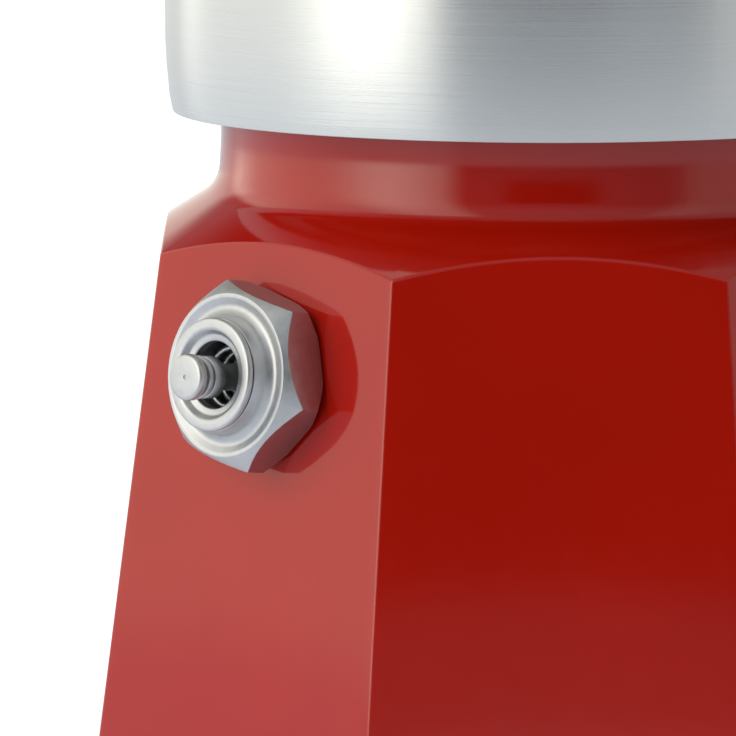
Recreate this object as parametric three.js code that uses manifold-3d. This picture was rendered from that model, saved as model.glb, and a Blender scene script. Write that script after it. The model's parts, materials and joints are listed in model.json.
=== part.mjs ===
// A three-cup stovetop moka pot with an eight-sided boiler, in millimetres, +Z up.
// The origin is the centre of the flat base. The spout points to -X and the handle to +X.
import * as THREE from "three";
import { ConvexGeometry } from "three/addons/geometries/ConvexGeometry.js";
import { mergeVertices } from "three/addons/utils/BufferGeometryUtils.js";
import Module from "manifold-3d";

// ---------- driving dimensions ----------
const SIDES = 8;
const ROUND = 48; // segments of a large turned surface
const INNER = 36; // segments of a large bore
const FINE = 16; // segments of a small turned part
const GAP = 0.3; // clearance between neighbours that touch
const BEYOND_R = 52; // outside the corners of every flat-sided body

const COLLAR_Z = 66; // lower edge of the collector's collar
const COLLAR_R = 36.7;
const COLLAR_MOUTH_R = 36;
const COLLAR_HEIGHT = 18;

const SHOULDER_Z = COLLAR_Z - 10.4; // where the flat sides meet the shoulder
const SHOULDER_APOTHEM = 36.6;
const SIDE_SLOPE = 0.131; // how far a flat side leans out for each mm down
const SHOULDER_DROP = 0.622; // fall of the shoulder cone for each mm outwards
const BOILER_WALL = 2.6;
const BOILER_FLOOR = 3;
const NECK_R = 31.3;
const NECK_BORE_R = 28.6;
const NECK_FILLET = 3.8;
const RIM_Z = COLLAR_Z + 9.5;

const THREAD_PITCH = 3;
const THREAD_TURNS = 1.25;
const THREAD_CREST_R = 32.5; // male thread
const THREAD_BORE_R = 33.9; // bore that carries the female thread
const THREAD_STEPS = 36; // steps for each turn

const VALVE_AZIMUTH = (225 * Math.PI) / 180;
const VALVE_Z = COLLAR_Z - 22.6;
const HEX_FLATS = 15.8;
const HEX_TURN = (105.6 * Math.PI) / 180;
const HEX_FACE = 5.04; // height of the hexagon's face above the boiler's side
const HEX_FACE_R = 7.56;
const INLET_R = 1.6;
const SHANK_R = 5.1;
const VALVE_BORE_R = 3.7;
const PIN_R = 1.25;
const PIN_HEAD_R = 2.15;
const PIN_NECK_R = 1.95;
const PIN_GROOVE_R = 1.6;

const FUNNEL_R = 28.3;
const SHEET = 0.8; // sheet metal of the funnel and the filter plates
const FLANGE_R = 31;
const FLANGE_Z = RIM_Z + GAP;
const BASKET_FLOOR_Z = 60;
const TUBE_R = 4.5;
const TUBE_BORE_R = 3.7;
const TUBE_END_Z = 6.5;
const TUBE_TOP_Z = 52.5;

const GASKET_R = 32.7;
const GASKET_BORE_R = 26.8;
const GASKET_Z = FLANGE_Z + SHEET + GAP;
const GASKET_HEIGHT = 3.4;
const SEAL_FACE_Z = GASKET_Z + GASKET_HEIGHT + GAP; // underside that presses on the gasket

const CHAMBER_Z = 84.5; // floor of the collector's chamber at its edge
const CHAMBER_WALL = 2.2;
const CHAMBER_FOOT_R = 32.2; // where the chamber leaves the collar's top
const LOWER_APOTHEM_Z = 86;
const LOWER_APOTHEM = 31.6;
const MOUTH_Z = 138;
const MOUTH_APOTHEM = 38.6;
const COLUMN_TOP_Z = 127;
const SPOUT_REACH = 50;
const SPOUT_HALF_WIDTH = 14;
const SPOUT_DEPTH = 32;

const HINGE = { x: 46.5, z: 140.5 };
const HINGE_PIN_R = 1.5;
const EAR_R = 3.4;
const EAR_INNER_Y = 6.2;
const EAR_OUTER_Y = 9.2;
const TANG = { x0: 33, x1: 49, y: 3, z0: 116, z1: 132 };
const BRIDGE = { x0: 35.5, z0: 131.5, z1: 136 }; // joins the tang to the hinge's ears
const SCREW = { x: 44, z: 122, r: 1.5 };
const HEAD_R = 3.2;
const HEAD_HEIGHT = 1.4;
const NUT_FLATS = 5.5;

const LID_Z = MOUTH_Z + GAP;
const LID_APOTHEM = 39.6;
const LID_EDGE = 2;
const LID_RISE = 5;
const LID_FLAT_R = 9; // flat land under the knob
const LID_SHELL = 1.6;
const LIP_WALL = 1.2; // short rim that centres the lid in the mouth
const LIP_DEPTH = 2;
const KNOB_Z = LID_Z + LID_EDGE + LID_RISE + GAP;

const HANDLE_WIDTH = 15;

const MERGE_MM = 1e-4;
const wasm = await Module();
wasm.setup();

// ---------- solids and booleans ----------

// A closed three.js geometry as a manifold-3d solid.
function solidOf(geometry) {
  const bare = geometry.clone();
  bare.deleteAttribute("normal");
  bare.deleteAttribute("uv");
  const merged = mergeVertices(bare, MERGE_MM);
  const mesh = new wasm.Mesh({
    numProp: 3,
    vertProperties: merged.attributes.position.array,
    triVerts: new Uint32Array(merged.index.array),
  });
  return new wasm.Manifold(mesh);
}

function geometryOf(solid) {
  const { numProp, numVert, vertProperties, triVerts } = solid.getMesh();
  const position = new Float32Array(numVert * 3);
  for (let i = 0; i < numVert; i++) {
    position.set(vertProperties.subarray(i * numProp, i * numProp + 3), i * 3);
  }
  const geometry = new THREE.BufferGeometry();
  geometry.setAttribute("position", new THREE.BufferAttribute(position, 3));
  geometry.setIndex(new THREE.BufferAttribute(triVerts, 1));
  return geometry;
}

const join = (first, ...rest) => rest.reduce((sum, s) => sum.add(s), first);
const cut = (first, ...rest) => rest.reduce((sum, s) => sum.subtract(s), first);

// A profile of [radius, height] points turned about +Z; the points run up the outside.
function turnedGeometry(profile, segments, turn = 0) {
  const points = profile.map(([r, z]) => new THREE.Vector2(r, z));
  const geometry = new THREE.LatheGeometry(points, segments);
  return geometry.rotateX(Math.PI / 2).rotateZ(turn);
}

const turned = (profile, segments = ROUND) => solidOf(turnedGeometry(profile, segments));

// The same with flat sides: the profile holds apothems, and a side faces +X.
function sided(profile, sides = SIDES, turn = Math.PI / sides) {
  const toCorner = 1 / Math.cos(Math.PI / sides);
  const corners = profile.map(([apothem, z]) => [apothem * toCorner, z]);
  return solidOf(turnedGeometry(corners, sides, turn));
}

// A ring between two radii, closed on itself.
const ring = (inner, outer, z0, z1) => [[inner, z0], [outer, z0], [outer, z1], [inner, z1], [inner, z0]];
const rod = (r, z0, z1) => [[0, z0], [r, z0], [r, z1], [0, z1]];

function boxSolid(x0, x1, y0, y1, z0, z1) {
  const geometry = new THREE.BoxGeometry(x1 - x0, y1 - y0, z1 - z0);
  return solidOf(geometry.translate((x0 + x1) / 2, (y0 + y1) / 2, (z0 + z1) / 2));
}

// A cylinder along X or Y with its ends at the given places.
function crossRod(axis, r, from, to, at, segments = FINE) {
  const geometry = new THREE.CylinderGeometry(r, r, to - from, segments);
  if (axis === "x") geometry.rotateZ(Math.PI / 2);
  const middle = (from + to) / 2;
  geometry.translate(axis === "x" ? middle : at.x, axis === "x" ? 0 : middle, at.z);
  return solidOf(geometry);
}

// Points of a circular arc in the profile plane, angles in degrees.
function arc(r, z, radius, from, to, steps) {
  return Array.from({ length: steps + 1 }, (_, i) => {
    const angle = THREE.MathUtils.degToRad(from + ((to - from) * i) / steps);
    return [r + radius * Math.cos(angle), z + radius * Math.sin(angle)];
  });
}

// A ridge that climbs along a helix, from rootR (sunk in the wall) to crestR, thinning at both ends.
function threadRidge(rootR, crestR, z0) {
  const steps = Math.round(THREAD_STEPS * THREAD_TURNS);
  const rootHalf = 1.1; // half widths of the ridge
  const crestHalf = 0.35;
  const fade = 4; // steps over which an end rises to full height
  const endHeight = 0.1; // height of the very ends, as a part of the full height
  const flat = [];
  const index = [];
  for (let i = 0; i <= steps; i++) {
    const angle = (2 * Math.PI * i) / THREAD_STEPS;
    const z = z0 + (THREAD_PITCH * i) / THREAD_STEPS;
    const full = Math.min(1, endHeight + Math.min(i, steps - i) / fade);
    const crest = rootR + (crestR - rootR) * full;
    const section = [[rootR, -rootHalf], [crest, -crestHalf], [crest, crestHalf], [rootR, rootHalf]];
    for (const [r, dz] of section) flat.push(r * Math.cos(angle), r * Math.sin(angle), z + dz);
  }
  for (let i = 0; i < steps; i++) {
    for (let k = 0; k < 4; k++) {
      const [a, b] = [4 * i + k, 4 * i + ((k + 1) % 4)];
      index.push(a, b + 4, b, a, a + 4, b + 4);
    }
  }
  const last = 4 * steps;
  index.push(0, 1, 2, 0, 2, 3, last, last + 2, last + 1, last, last + 3, last + 2);
  if (crestR < rootR) index.reverse();
  const geometry = new THREE.BufferGeometry();
  geometry.setAttribute("position", new THREE.Float32BufferAttribute(flat, 3));
  geometry.setIndex(index);
  return solidOf(geometry);
}

// A round wire wound into a spring along +Z, whose last turn widens from meanR to endR.
function springGeometry(meanR, endR, wireR, z0, z1, turns) {
  const steps = Math.round(turns * 12);
  const points = Array.from({ length: steps + 1 }, (_, i) => {
    const turn = (turns * i) / steps;
    const z = z0 + wireR + ((z1 - z0 - 2 * wireR) * i) / steps;
    const r = meanR + (endR - meanR) * Math.max(0, turn - turns + 1);
    return new THREE.Vector3(r * Math.cos(2 * Math.PI * turn), r * Math.sin(2 * Math.PI * turn), z);
  });
  const path = new THREE.CatmullRomCurve3(points);
  const section = new THREE.Shape();
  section.absarc(0, 0, wireR, 0, 2 * Math.PI);
  const options = { extrudePath: path, steps, curveSegments: 3, bevelEnabled: false };
  return new THREE.ExtrudeGeometry(section, options);
}

// A flat disc with rings of small holes, six more in each ring.
function perforatedDisc(profile, z0, z1, rings, spacing, holeR) {
  const holes = [];
  for (let n = 0; n <= rings; n++) {
    for (let i = 0; i < Math.max(1, 6 * n); i++) {
      const angle = (2 * Math.PI * i) / Math.max(1, 6 * n);
      const hole = new THREE.CylinderGeometry(holeR, holeR, z1 - z0 + 2, 6).rotateX(Math.PI / 2);
      hole.translate(spacing * n * Math.cos(angle), spacing * n * Math.sin(angle), (z0 + z1) / 2);
      holes.push(solidOf(hole));
    }
  }
  return cut(turned(profile, INNER), join(...holes));
}

// ---------- materials ----------
function paint(color, roughness, metalness = 0) {
  return new THREE.MeshStandardMaterial({ color, roughness, metalness });
}

const MATERIALS = {
  lacquer: paint(0x8f1208, 0.15),
  brushed: paint(0xd5d8d8, 0.35, 1),
  sheet: paint(0xc4c6c8, 0.3, 1),
  steel: paint(0xb9bab8, 0.25, 1),
  brass: paint(0xc2a057, 0.3, 1),
  rubber: paint(0xe6e4dc, 0.6),
  phenolic: paint(0x111113, 0.35),
};

const pot = new THREE.Group();

function addPiece(name, geometry, material, parent = pot) {
  const mesh = new THREE.Mesh(geometry, material);
  mesh.name = name;
  parent.add(mesh);
  return mesh;
}

// ---------- safety valve, in a frame whose +Z leaves the boiler's side ----------
const valve = new THREE.Group();
{
  const apothem = SHOULDER_APOTHEM + SIDE_SLOPE * (SHOULDER_Z - VALVE_Z);
  const level = new THREE.Vector3(Math.cos(VALVE_AZIMUTH), Math.sin(VALVE_AZIMUTH), 0);
  const along = new THREE.Vector3(-level.y, level.x, 0);
  const out = level.clone().setZ(SIDE_SLOPE).normalize();
  const up = new THREE.Vector3().crossVectors(out, along);
  valve.position.copy(level.clone().multiplyScalar(apothem)).setZ(VALVE_Z);
  valve.quaternion.setFromRotationMatrix(new THREE.Matrix4().makeBasis(along, up, out));
  valve.updateMatrix();
}
pot.add(valve);

// A turned solid in the valve's frame, placed in the pot's frame.
const onValve = (profile) => solidOf(turnedGeometry(profile, FINE).applyMatrix4(valve.matrix));

const SEAT_Z = -7.2; // inner end of the valve's bore
const SHANK_END = -9;
const CAP_FACE = HEX_FACE + 2.1;
const CAP_R = 5.25;
const CAP_LIP = 0.6; // thickness of the rolled lip
const BOSS_TOP_Z = CAP_FACE - CAP_LIP - 0.25;
const CAP_HOLE_R = 3.1;
const CAP_SPIGOT_R = 4.4;
const CAP_INNER_Z = 2.8;
const CAP_BORE_R = 3.7; // room for the spring under the rolled lip
const LIP_UNDER_Z = CAP_FACE - 1.65;
const PIN_FACE = HEX_FACE + 5.15;
const SPRING_TURNS = 7;

function valveBody() {
  const beyondCorner = HEX_FLATS / 2 / Math.cos(Math.PI / 6) + 0.1;
  const above = HEX_FACE + 4;
  const dishZ = HEX_FACE - 0.54;
  const hexagon = sided(rod(HEX_FLATS / 2, GAP, HEX_FACE), 6, HEX_TURN);
  const chamfers = [
    [0, GAP],
    [8.1, GAP],
    [beyondCorner, 1.4],
    [beyondCorner, 3.35],
    [HEX_FACE_R, HEX_FACE],
    [0, HEX_FACE],
  ];
  const dish = [[4, dishZ], [5.7, dishZ], [7, HEX_FACE], [7, above], [4, above], [4, dishZ]];
  const head = hexagon.intersect(turned(chamfers, INNER));
  const shank = turned(rod(SHANK_R, SHANK_END, 1), FINE);
  const bore = turned(rod(VALVE_BORE_R, SEAT_Z, above), FINE);
  const inlet = turned(rod(INLET_R, SHANK_END - 2, SEAT_Z + 1), FINE);
  const counterbore = turned(rod(CAP_SPIGOT_R + GAP, CAP_INNER_Z - GAP, above), FINE);
  const washerSeat = turned(ring(SHANK_R + 0.2, 7, -1, 1.6), FINE);
  const boss = turned(
    [
      [0, dishZ - 0.5],
      [6, dishZ - 0.5],
      [5.8, dishZ + 0.1],
      [CAP_R + 0.15, HEX_FACE],
      [CAP_R, BOSS_TOP_Z],
      [0, BOSS_TOP_Z],
    ],
    INNER,
  );
  const dished = cut(head, turned(dish, INNER));
  return cut(join(dished, shank, boss), bore, inlet, counterbore, washerSeat);
}

function valveCap() {
  const round = 0.5;
  const shoulderZ = CAP_FACE - CAP_LIP;
  const lip = arc(CAP_R - round, CAP_FACE - round, round, 0, 90, 3);
  const profile = [
    [CAP_BORE_R, CAP_INNER_Z],
    [CAP_SPIGOT_R, CAP_INNER_Z],
    [CAP_SPIGOT_R, shoulderZ],
    [CAP_R, shoulderZ],
    ...lip,
    [4, CAP_FACE],
    [CAP_BORE_R, CAP_FACE - 0.6],
    [CAP_HOLE_R, CAP_FACE - 0.7],
    [CAP_HOLE_R, LIP_UNDER_Z],
    [CAP_BORE_R, LIP_UNDER_Z],
    [CAP_BORE_R, CAP_INNER_Z],
  ];
  return turnedGeometry(profile, 24);
}

function valvePlunger() {
  const head = arc(PIN_HEAD_R - 0.4, PIN_FACE - 0.4, 0.4, 0, 90, 2);
  return turnedGeometry(
    [
      [0, -6.9],
      [1, -6.9],
      [1, -5.6],
      [3.3, -5.6],
      [3.3, -4.9],
      [PIN_R, -4.9],
      [PIN_R, PIN_FACE - 3.5],
      [PIN_NECK_R, PIN_FACE - 3.45],
      [PIN_NECK_R, PIN_FACE - 2.15],
      [PIN_GROOVE_R, PIN_FACE - 2.1],
      [PIN_GROOVE_R, PIN_FACE - 1.95],
      [PIN_NECK_R, PIN_FACE - 1.85],
      [PIN_NECK_R, PIN_FACE - 1.35],
      [PIN_GROOVE_R, PIN_FACE - 1.3],
      [PIN_GROOVE_R, PIN_FACE - 1],
      [PIN_HEAD_R, PIN_FACE - 0.8],
      ...head,
      [0, PIN_FACE],
    ],
    FINE,
  );
}

addPiece("valve_body", geometryOf(valveBody()), MATERIALS.steel, valve);
addPiece("valve_washer", turnedGeometry(ring(SHANK_R + GAP, 6.7, GAP, 1.3), FINE), MATERIALS.rubber, valve);
addPiece("valve_cap", valveCap(), MATERIALS.steel, valve);
const spring = springGeometry(2.45, 3.05, 0.3, -4.6, LIP_UNDER_Z - GAP, SPRING_TURNS);
addPiece("valve_spring", spring, MATERIALS.steel, valve);
addPiece("valve_plunger", valvePlunger(), MATERIALS.steel, valve);
addPiece("valve_seal", turnedGeometry(ring(1.3, 2.7, -6.9, -5.9), FINE), MATERIALS.rubber, valve);

// ---------- boiler ----------
function boiler() {
  const coneZ = (r) => SHOULDER_Z - (r - SHOULDER_APOTHEM) * SHOULDER_DROP;
  const coneAngle = Math.atan(SHOULDER_DROP);
  const filletR = NECK_R + NECK_FILLET;
  const filletZ = coneZ(filletR) + NECK_FILLET / Math.cos(coneAngle);
  const outside = [
    [0, 0],
    [BEYOND_R, 0],
    [BEYOND_R, coneZ(BEYOND_R)],
    ...arc(filletR, filletZ, NECK_FILLET, 270 - THREE.MathUtils.radToDeg(coneAngle), 180, 6),
    [NECK_R, RIM_Z - 0.8],
    [NECK_R - 0.8, RIM_Z],
    [0, RIM_Z],
  ];
  const sideAt = (z) => SHOULDER_APOTHEM + SIDE_SLOPE * (SHOULDER_Z - z);
  const flats = [[0, 0], [sideAt(0) - 1, 0], [sideAt(1), 1], [sideAt(RIM_Z), RIM_Z], [0, RIM_Z]];
  const bore = [
    [0, BOILER_FLOOR],
    [BEYOND_R, BOILER_FLOOR],
    [BEYOND_R, coneZ(BEYOND_R) - BOILER_WALL],
    [NECK_BORE_R, coneZ(NECK_BORE_R) - BOILER_WALL - 1.2],
    [NECK_BORE_R, RIM_Z + 1],
    [0, RIM_Z + 1],
  ];
  const innerFlats = [
    [0, BOILER_FLOOR],
    [sideAt(BOILER_FLOOR) - BOILER_WALL - 3, BOILER_FLOOR],
    [sideAt(6) - BOILER_WALL, 6],
    [sideAt(RIM_Z + 1) - BOILER_WALL, RIM_Z + 1],
    [0, RIM_Z + 1],
  ];
  const cavity = turned(bore, INNER).intersect(sided(innerFlats));
  const shell = turned(outside).intersect(sided(flats)).subtract(cavity);
  const boss = onValve(rod(8.2, -6.5, -1.2));
  const valveHole = onValve(rod(SHANK_R + GAP, -12, 2));
  const groove = turned(ring(30, 31, -1, 0.4), INNER);
  const thread = threadRidge(NECK_R - 0.6, THREAD_CREST_R, RIM_Z - 6.2);
  return cut(join(shell, boss, thread), valveHole, groove);
}

addPiece("boiler", geometryOf(boiler()), MATERIALS.lacquer);

// ---------- funnel ----------
function funnelBasket() {
  const throat = TUBE_R + GAP;
  const socketZ = 47.5;
  const coneEndZ = 53;
  const profile = [
    [throat, socketZ],
    [throat + SHEET, socketZ],
    [throat + SHEET, coneEndZ - 0.4],
    [FUNNEL_R - 2.4, BASKET_FLOOR_Z],
    [FUNNEL_R, BASKET_FLOOR_Z + 1.5],
    [FUNNEL_R, FLANGE_Z],
    [FLANGE_R, FLANGE_Z],
    [FLANGE_R, FLANGE_Z + SHEET],
    [FUNNEL_R - SHEET, FLANGE_Z + SHEET],
    [FUNNEL_R - SHEET, BASKET_FLOOR_Z + 1.7],
    [FUNNEL_R - 2.6, BASKET_FLOOR_Z + SHEET],
    [throat, coneEndZ + 0.4],
    [throat, socketZ],
  ];
  return turnedGeometry(profile, INNER);
}

const SCREEN_Z = BASKET_FLOOR_Z + 2.2;
const screenDisc = rod(FUNNEL_R - SHEET - GAP, SCREEN_Z, SCREEN_Z + SHEET);
addPiece("funnel_basket", funnelBasket(), MATERIALS.sheet);
const tubeProfile = ring(TUBE_BORE_R, TUBE_R, TUBE_END_Z, TUBE_TOP_Z);
addPiece("funnel_tube", turnedGeometry(tubeProfile, FINE), MATERIALS.sheet);
const screen = perforatedDisc(screenDisc, SCREEN_Z, SCREEN_Z + SHEET, 2, 9, 1.2);
addPiece("funnel_screen", geometryOf(screen), MATERIALS.sheet);

// ---------- seal and filter plate ----------
function filterPlate() {
  const r = GASKET_BORE_R - GAP;
  const z = GASKET_Z + 0.5;
  const dish = [
    [0, z],
    [r - 0.4, z],
    [r, z + 0.4],
    [r, GASKET_Z + GASKET_HEIGHT],
    [r - SHEET, GASKET_Z + GASKET_HEIGHT],
    [r - SHEET, z + SHEET],
    [0, z + SHEET],
  ];
  return perforatedDisc(dish, z, z + SHEET, 2, 9, 1);
}

addPiece("filter_plate", geometryOf(filterPlate()), MATERIALS.sheet);
const gasketProfile = ring(GASKET_BORE_R, GASKET_R, GASKET_Z, GASKET_Z + GASKET_HEIGHT);
addPiece("gasket", turnedGeometry(gasketProfile, INNER), MATERIALS.rubber);

// ---------- collector ----------
const chamberSlope = (MOUTH_APOTHEM - LOWER_APOTHEM) / (MOUTH_Z - LOWER_APOTHEM_Z);
const chamberApothem = (z) => LOWER_APOTHEM + chamberSlope * (z - LOWER_APOTHEM_Z);

function collar() {
  const topZ = COLLAR_Z + COLLAR_HEIGHT;
  return turned([
    [0, COLLAR_Z],
    [COLLAR_MOUTH_R, COLLAR_Z],
    [36.3, COLLAR_Z + 1.5],
    [36.57, COLLAR_Z + 4.5],
    [COLLAR_R, COLLAR_Z + 7],
    ...arc(COLLAR_R - 1.8, topZ - 1.8, 1.8, 0, 90, 4),
    [32, topZ + 0.6],
    [0, topZ + 0.6],
  ]);
}

// Outer sides of the chamber, scalloped where they rise from the collar.
function chamberOutside() {
  const z0 = COLLAR_Z + COLLAR_HEIGHT - 2;
  const footZ = z0 + 2.6;
  const foot = [
    [0, z0],
    [CHAMBER_FOOT_R, z0],
    [CHAMBER_FOOT_R, footZ],
    [BEYOND_R, footZ + BEYOND_R - CHAMBER_FOOT_R],
    [BEYOND_R, MOUTH_Z],
    [0, MOUTH_Z],
  ];
  const flats = [[0, z0], [chamberApothem(z0), z0], [MOUTH_APOTHEM, MOUTH_Z], [0, MOUTH_Z]];
  return turned(foot).intersect(sided(flats));
}

// A beak that folds out of the -X side: its tip is level with the mouth.
function beak(inset, drop) {
  const z = MOUTH_Z + drop;
  const half = SPOUT_HALF_WIDTH - inset * 1.2;
  const root = chamberApothem(MOUTH_Z);
  const lowZ = MOUTH_Z - SPOUT_DEPTH + inset * 2.5;
  const points = [
    [-SPOUT_REACH + inset * 2.2, 0, z],
    [-root + inset, half, z],
    [-root + inset, -half, z],
    [-chamberApothem(lowZ) + inset, 0, lowZ],
    [-root + 6, half, z],
    [-root + 6, -half, z],
    [-chamberApothem(lowZ) + 4, 0, lowZ],
  ];
  return solidOf(new ConvexGeometry(points.map((p) => new THREE.Vector3(...p))));
}

// The inside of the chamber: flat sides, over a floor that rises towards the column.
function chamberInside() {
  const inner = (z) => chamberApothem(z) - CHAMBER_WALL;
  const z1 = MOUTH_Z + 1;
  const flats = [[0, CHAMBER_Z], [inner(CHAMBER_Z), CHAMBER_Z], [inner(z1), z1], [0, z1]];
  const column = [
    [0, CHAMBER_Z - 5],
    [28, CHAMBER_Z - 5],
    [28, CHAMBER_Z + 0.5],
    [12, CHAMBER_Z + 7],
    [9.5, CHAMBER_Z + 9.5],
    [6.2, COLUMN_TOP_Z - 4],
    ...arc(2.2, COLUMN_TOP_Z - 4, 4, 0, 90, 4),
    [0, COLUMN_TOP_Z],
  ];
  return cut(sided(flats), turned(column, 24));
}

// The way up from the filter plate through the column, and its two side outlets.
function riserBore() {
  const bore = [
    [0, SEAL_FACE_Z - 1],
    [24, SEAL_FACE_Z - 1],
    [24, SEAL_FACE_Z],
    [9, CHAMBER_Z + 3.5],
    [7, CHAMBER_Z + 7],
    [4, COLUMN_TOP_Z - 6],
    [2.2, COLUMN_TOP_Z - 2.2],
    [0, COLUMN_TOP_Z - 2.2],
  ];
  const outlet = boxSolid(-2, 2, -9, 9, COLUMN_TOP_Z - 9, COLUMN_TOP_Z - 4);
  return join(turned(bore, 24), outlet);
}

// The tang that the handle slips over and the two ears that carry the lid.
function hingeBlock() {
  const tang = boxSolid(TANG.x0, TANG.x1, -TANG.y, TANG.y, TANG.z0, TANG.z1);
  const earEnd = HINGE.x + EAR_R;
  const bridge = boxSolid(BRIDGE.x0, earEnd, -EAR_OUTER_Y, EAR_OUTER_Y, BRIDGE.z0, BRIDGE.z1);
  const ears = [-1, 1].map((side) => {
    const y0 = Math.min(side * EAR_INNER_Y, side * EAR_OUTER_Y);
    const y1 = y0 + EAR_OUTER_Y - EAR_INNER_Y;
    const plate = boxSolid(HINGE.x - EAR_R, earEnd, y0, y1, BRIDGE.z1 - 1, HINGE.z);
    return join(plate, crossRod("y", EAR_R, y0, y1, HINGE));
  });
  const pinHole = crossRod("y", HINGE_PIN_R + GAP, -12, 12, HINGE);
  const screwHole = crossRod("y", SCREW.r + GAP, -9, 9, SCREW);
  return cut(join(tang, bridge, ...ears), pinHole, screwHole);
}

function collector() {
  const seat = turned(rod(GASKET_R + GAP, COLLAR_Z - 1, SEAL_FACE_Z), INNER);
  const threadBore = turned(rod(THREAD_BORE_R, COLLAR_Z - 1, GASKET_Z - GAP), ROUND);
  const outside = join(collar(), chamberOutside(), beak(0, 0), hingeBlock());
  const shell = cut(outside, seat, threadBore, chamberInside(), beak(CHAMBER_WALL, 1), riserBore());
  const thread = threadRidge(THREAD_BORE_R + 0.6, THREAD_CREST_R + GAP, COLLAR_Z + 2.2);
  return join(shell, thread);
}

addPiece("collector", geometryOf(collector()), MATERIALS.brushed);
const hingePin = crossRod("y", HINGE_PIN_R, -EAR_OUTER_Y - 0.6, EAR_OUTER_Y + 0.6, HINGE);
addPiece("hinge_pin", geometryOf(hingePin), MATERIALS.steel);

// ---------- handle ----------
function handleOutline() {
  const shape = new THREE.Shape();
  shape.moveTo(36.6, 111.5);
  shape.lineTo(39.4, 131.2);
  shape.lineTo(50.6, 131.2);
  shape.lineTo(52, 136.4);
  shape.lineTo(70, 138.6);
  shape.quadraticCurveTo(79, 139.6, 81.5, 131);
  shape.quadraticCurveTo(86, 104, 88, 74);
  shape.quadraticCurveTo(88, 69, 83.5, 69.5);
  shape.lineTo(79, 70.2);
  shape.quadraticCurveTo(75.8, 70.8, 75.4, 75);
  shape.quadraticCurveTo(74, 98, 69.5, 114);
  shape.quadraticCurveTo(68, 119.5, 62, 118);
  shape.quadraticCurveTo(53, 113.5, 48, 109.5);
  shape.lineTo(40, 108.5);
  return shape;
}

const NUT_CORNER_R = NUT_FLATS / 2 / Math.cos(Math.PI / 6);

// A prism along Y; six segments make a nut or its pocket.
const alongY = (r, y0, y1, segments) => crossRod("y", r, y0, y1, SCREW, segments);

function handle() {
  const bevel = 2;
  const body = new THREE.ExtrudeGeometry(handleOutline(), {
    depth: HANDLE_WIDTH - 2 * bevel,
    curveSegments: 6,
    bevelThickness: bevel,
    bevelSize: bevel,
    bevelOffset: -bevel,
    bevelSegments: 2,
  });
  body.translate(0, 0, -HANDLE_WIDTH / 2 + bevel).rotateX(Math.PI / 2);
  const side = HANDLE_WIDTH / 2;
  const slot = boxSolid(30, TANG.x1 + GAP, -TANG.y - GAP, TANG.y + GAP, TANG.z0 - GAP, 140);
  const bore = alongY(SCREW.r + GAP, -side - 1, side + 1, FINE);
  const headSeat = alongY(HEAD_R + GAP, -side - 1, -side + HEAD_HEIGHT + GAP, FINE);
  const nutPocket = alongY(NUT_CORNER_R + GAP, side - HEAD_HEIGHT - GAP, side + 1, 6);
  return cut(solidOf(body), slot, bore, headSeat, nutPocket);
}

// A cheese-head screw through the handle's cheeks and the tang, with its slot on the -Y side.
function handleScrew() {
  const side = HANDLE_WIDTH / 2;
  const shank = alongY(SCREW.r, -side + 1, side - 0.3, FINE);
  const head = alongY(HEAD_R, -side, -side + HEAD_HEIGHT, FINE);
  const slot = boxSolid(SCREW.x - 4, SCREW.x + 4, -side - 1, -side + 0.6, SCREW.z - 0.4, SCREW.z + 0.4);
  return cut(join(shank, head), slot);
}

function handleNut() {
  const side = HANDLE_WIDTH / 2;
  const hexagon = alongY(NUT_CORNER_R, side - HEAD_HEIGHT, side, 6);
  return hexagon.subtract(alongY(SCREW.r + GAP, side - 4, side + 1, FINE));
}

addPiece("handle", geometryOf(handle()), MATERIALS.phenolic);
addPiece("handle_screw", geometryOf(handleScrew()), MATERIALS.steel);
addPiece("handle_nut", geometryOf(handleNut()), MATERIALS.steel);

// ---------- lid ----------
function lid() {
  const edgeZ = LID_Z + LID_EDGE;
  const topZ = edgeZ + LID_RISE;
  const outside = sided([
    [0, LID_Z],
    [LID_APOTHEM, LID_Z],
    [LID_APOTHEM, edgeZ - 0.6],
    [LID_APOTHEM - 0.6, edgeZ],
    [LID_FLAT_R, topZ],
    [0, topZ],
  ]);
  const inside = sided([
    [0, LID_Z - 1],
    [LID_APOTHEM - 4.6, LID_Z - 1],
    [LID_APOTHEM - 4.6, LID_Z],
    [LID_FLAT_R, topZ - LID_SHELL - 0.4],
    [0, topZ - LID_SHELL - 0.4],
  ]);
  const lipOuter = MOUTH_APOTHEM - CHAMBER_WALL - 0.7;
  const lipInside = sided(rod(lipOuter - LIP_WALL, LID_Z - LIP_DEPTH - 1, LID_Z + 1));
  const lip = cut(sided(rod(lipOuter, LID_Z - LIP_DEPTH, LID_Z + 0.5)), lipInside);
  const half = EAR_INNER_Y - 0.5;
  const knuckle = crossRod("y", 3, -half, half, HINGE);
  const web = boxSolid(LID_APOTHEM - 2, HINGE.x, -half, half, LID_Z, HINGE.z + 1.5);
  const beakCover = solidOf(
    new ConvexGeometry(
      [
        [-SPOUT_REACH + 3, 0],
        [-LID_APOTHEM + 1, 11],
        [-LID_APOTHEM + 1, -11],
      ].flatMap(([x, y]) => [new THREE.Vector3(x, y, LID_Z), new THREE.Vector3(x, y, edgeZ - 0.4)]),
    ),
  );
  const pinHole = crossRod("y", HINGE_PIN_R + GAP, -12, 12, HINGE);
  const knobHole = turned(rod(2.3, LID_Z, topZ + 1), FINE);
  const shell = cut(join(outside, web, knuckle, beakCover), inside);
  return cut(join(shell, lip), pinHole, knobHole);
}

const KNOB_HEIGHT = 16;
const INSERT_R = 3.1;

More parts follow.
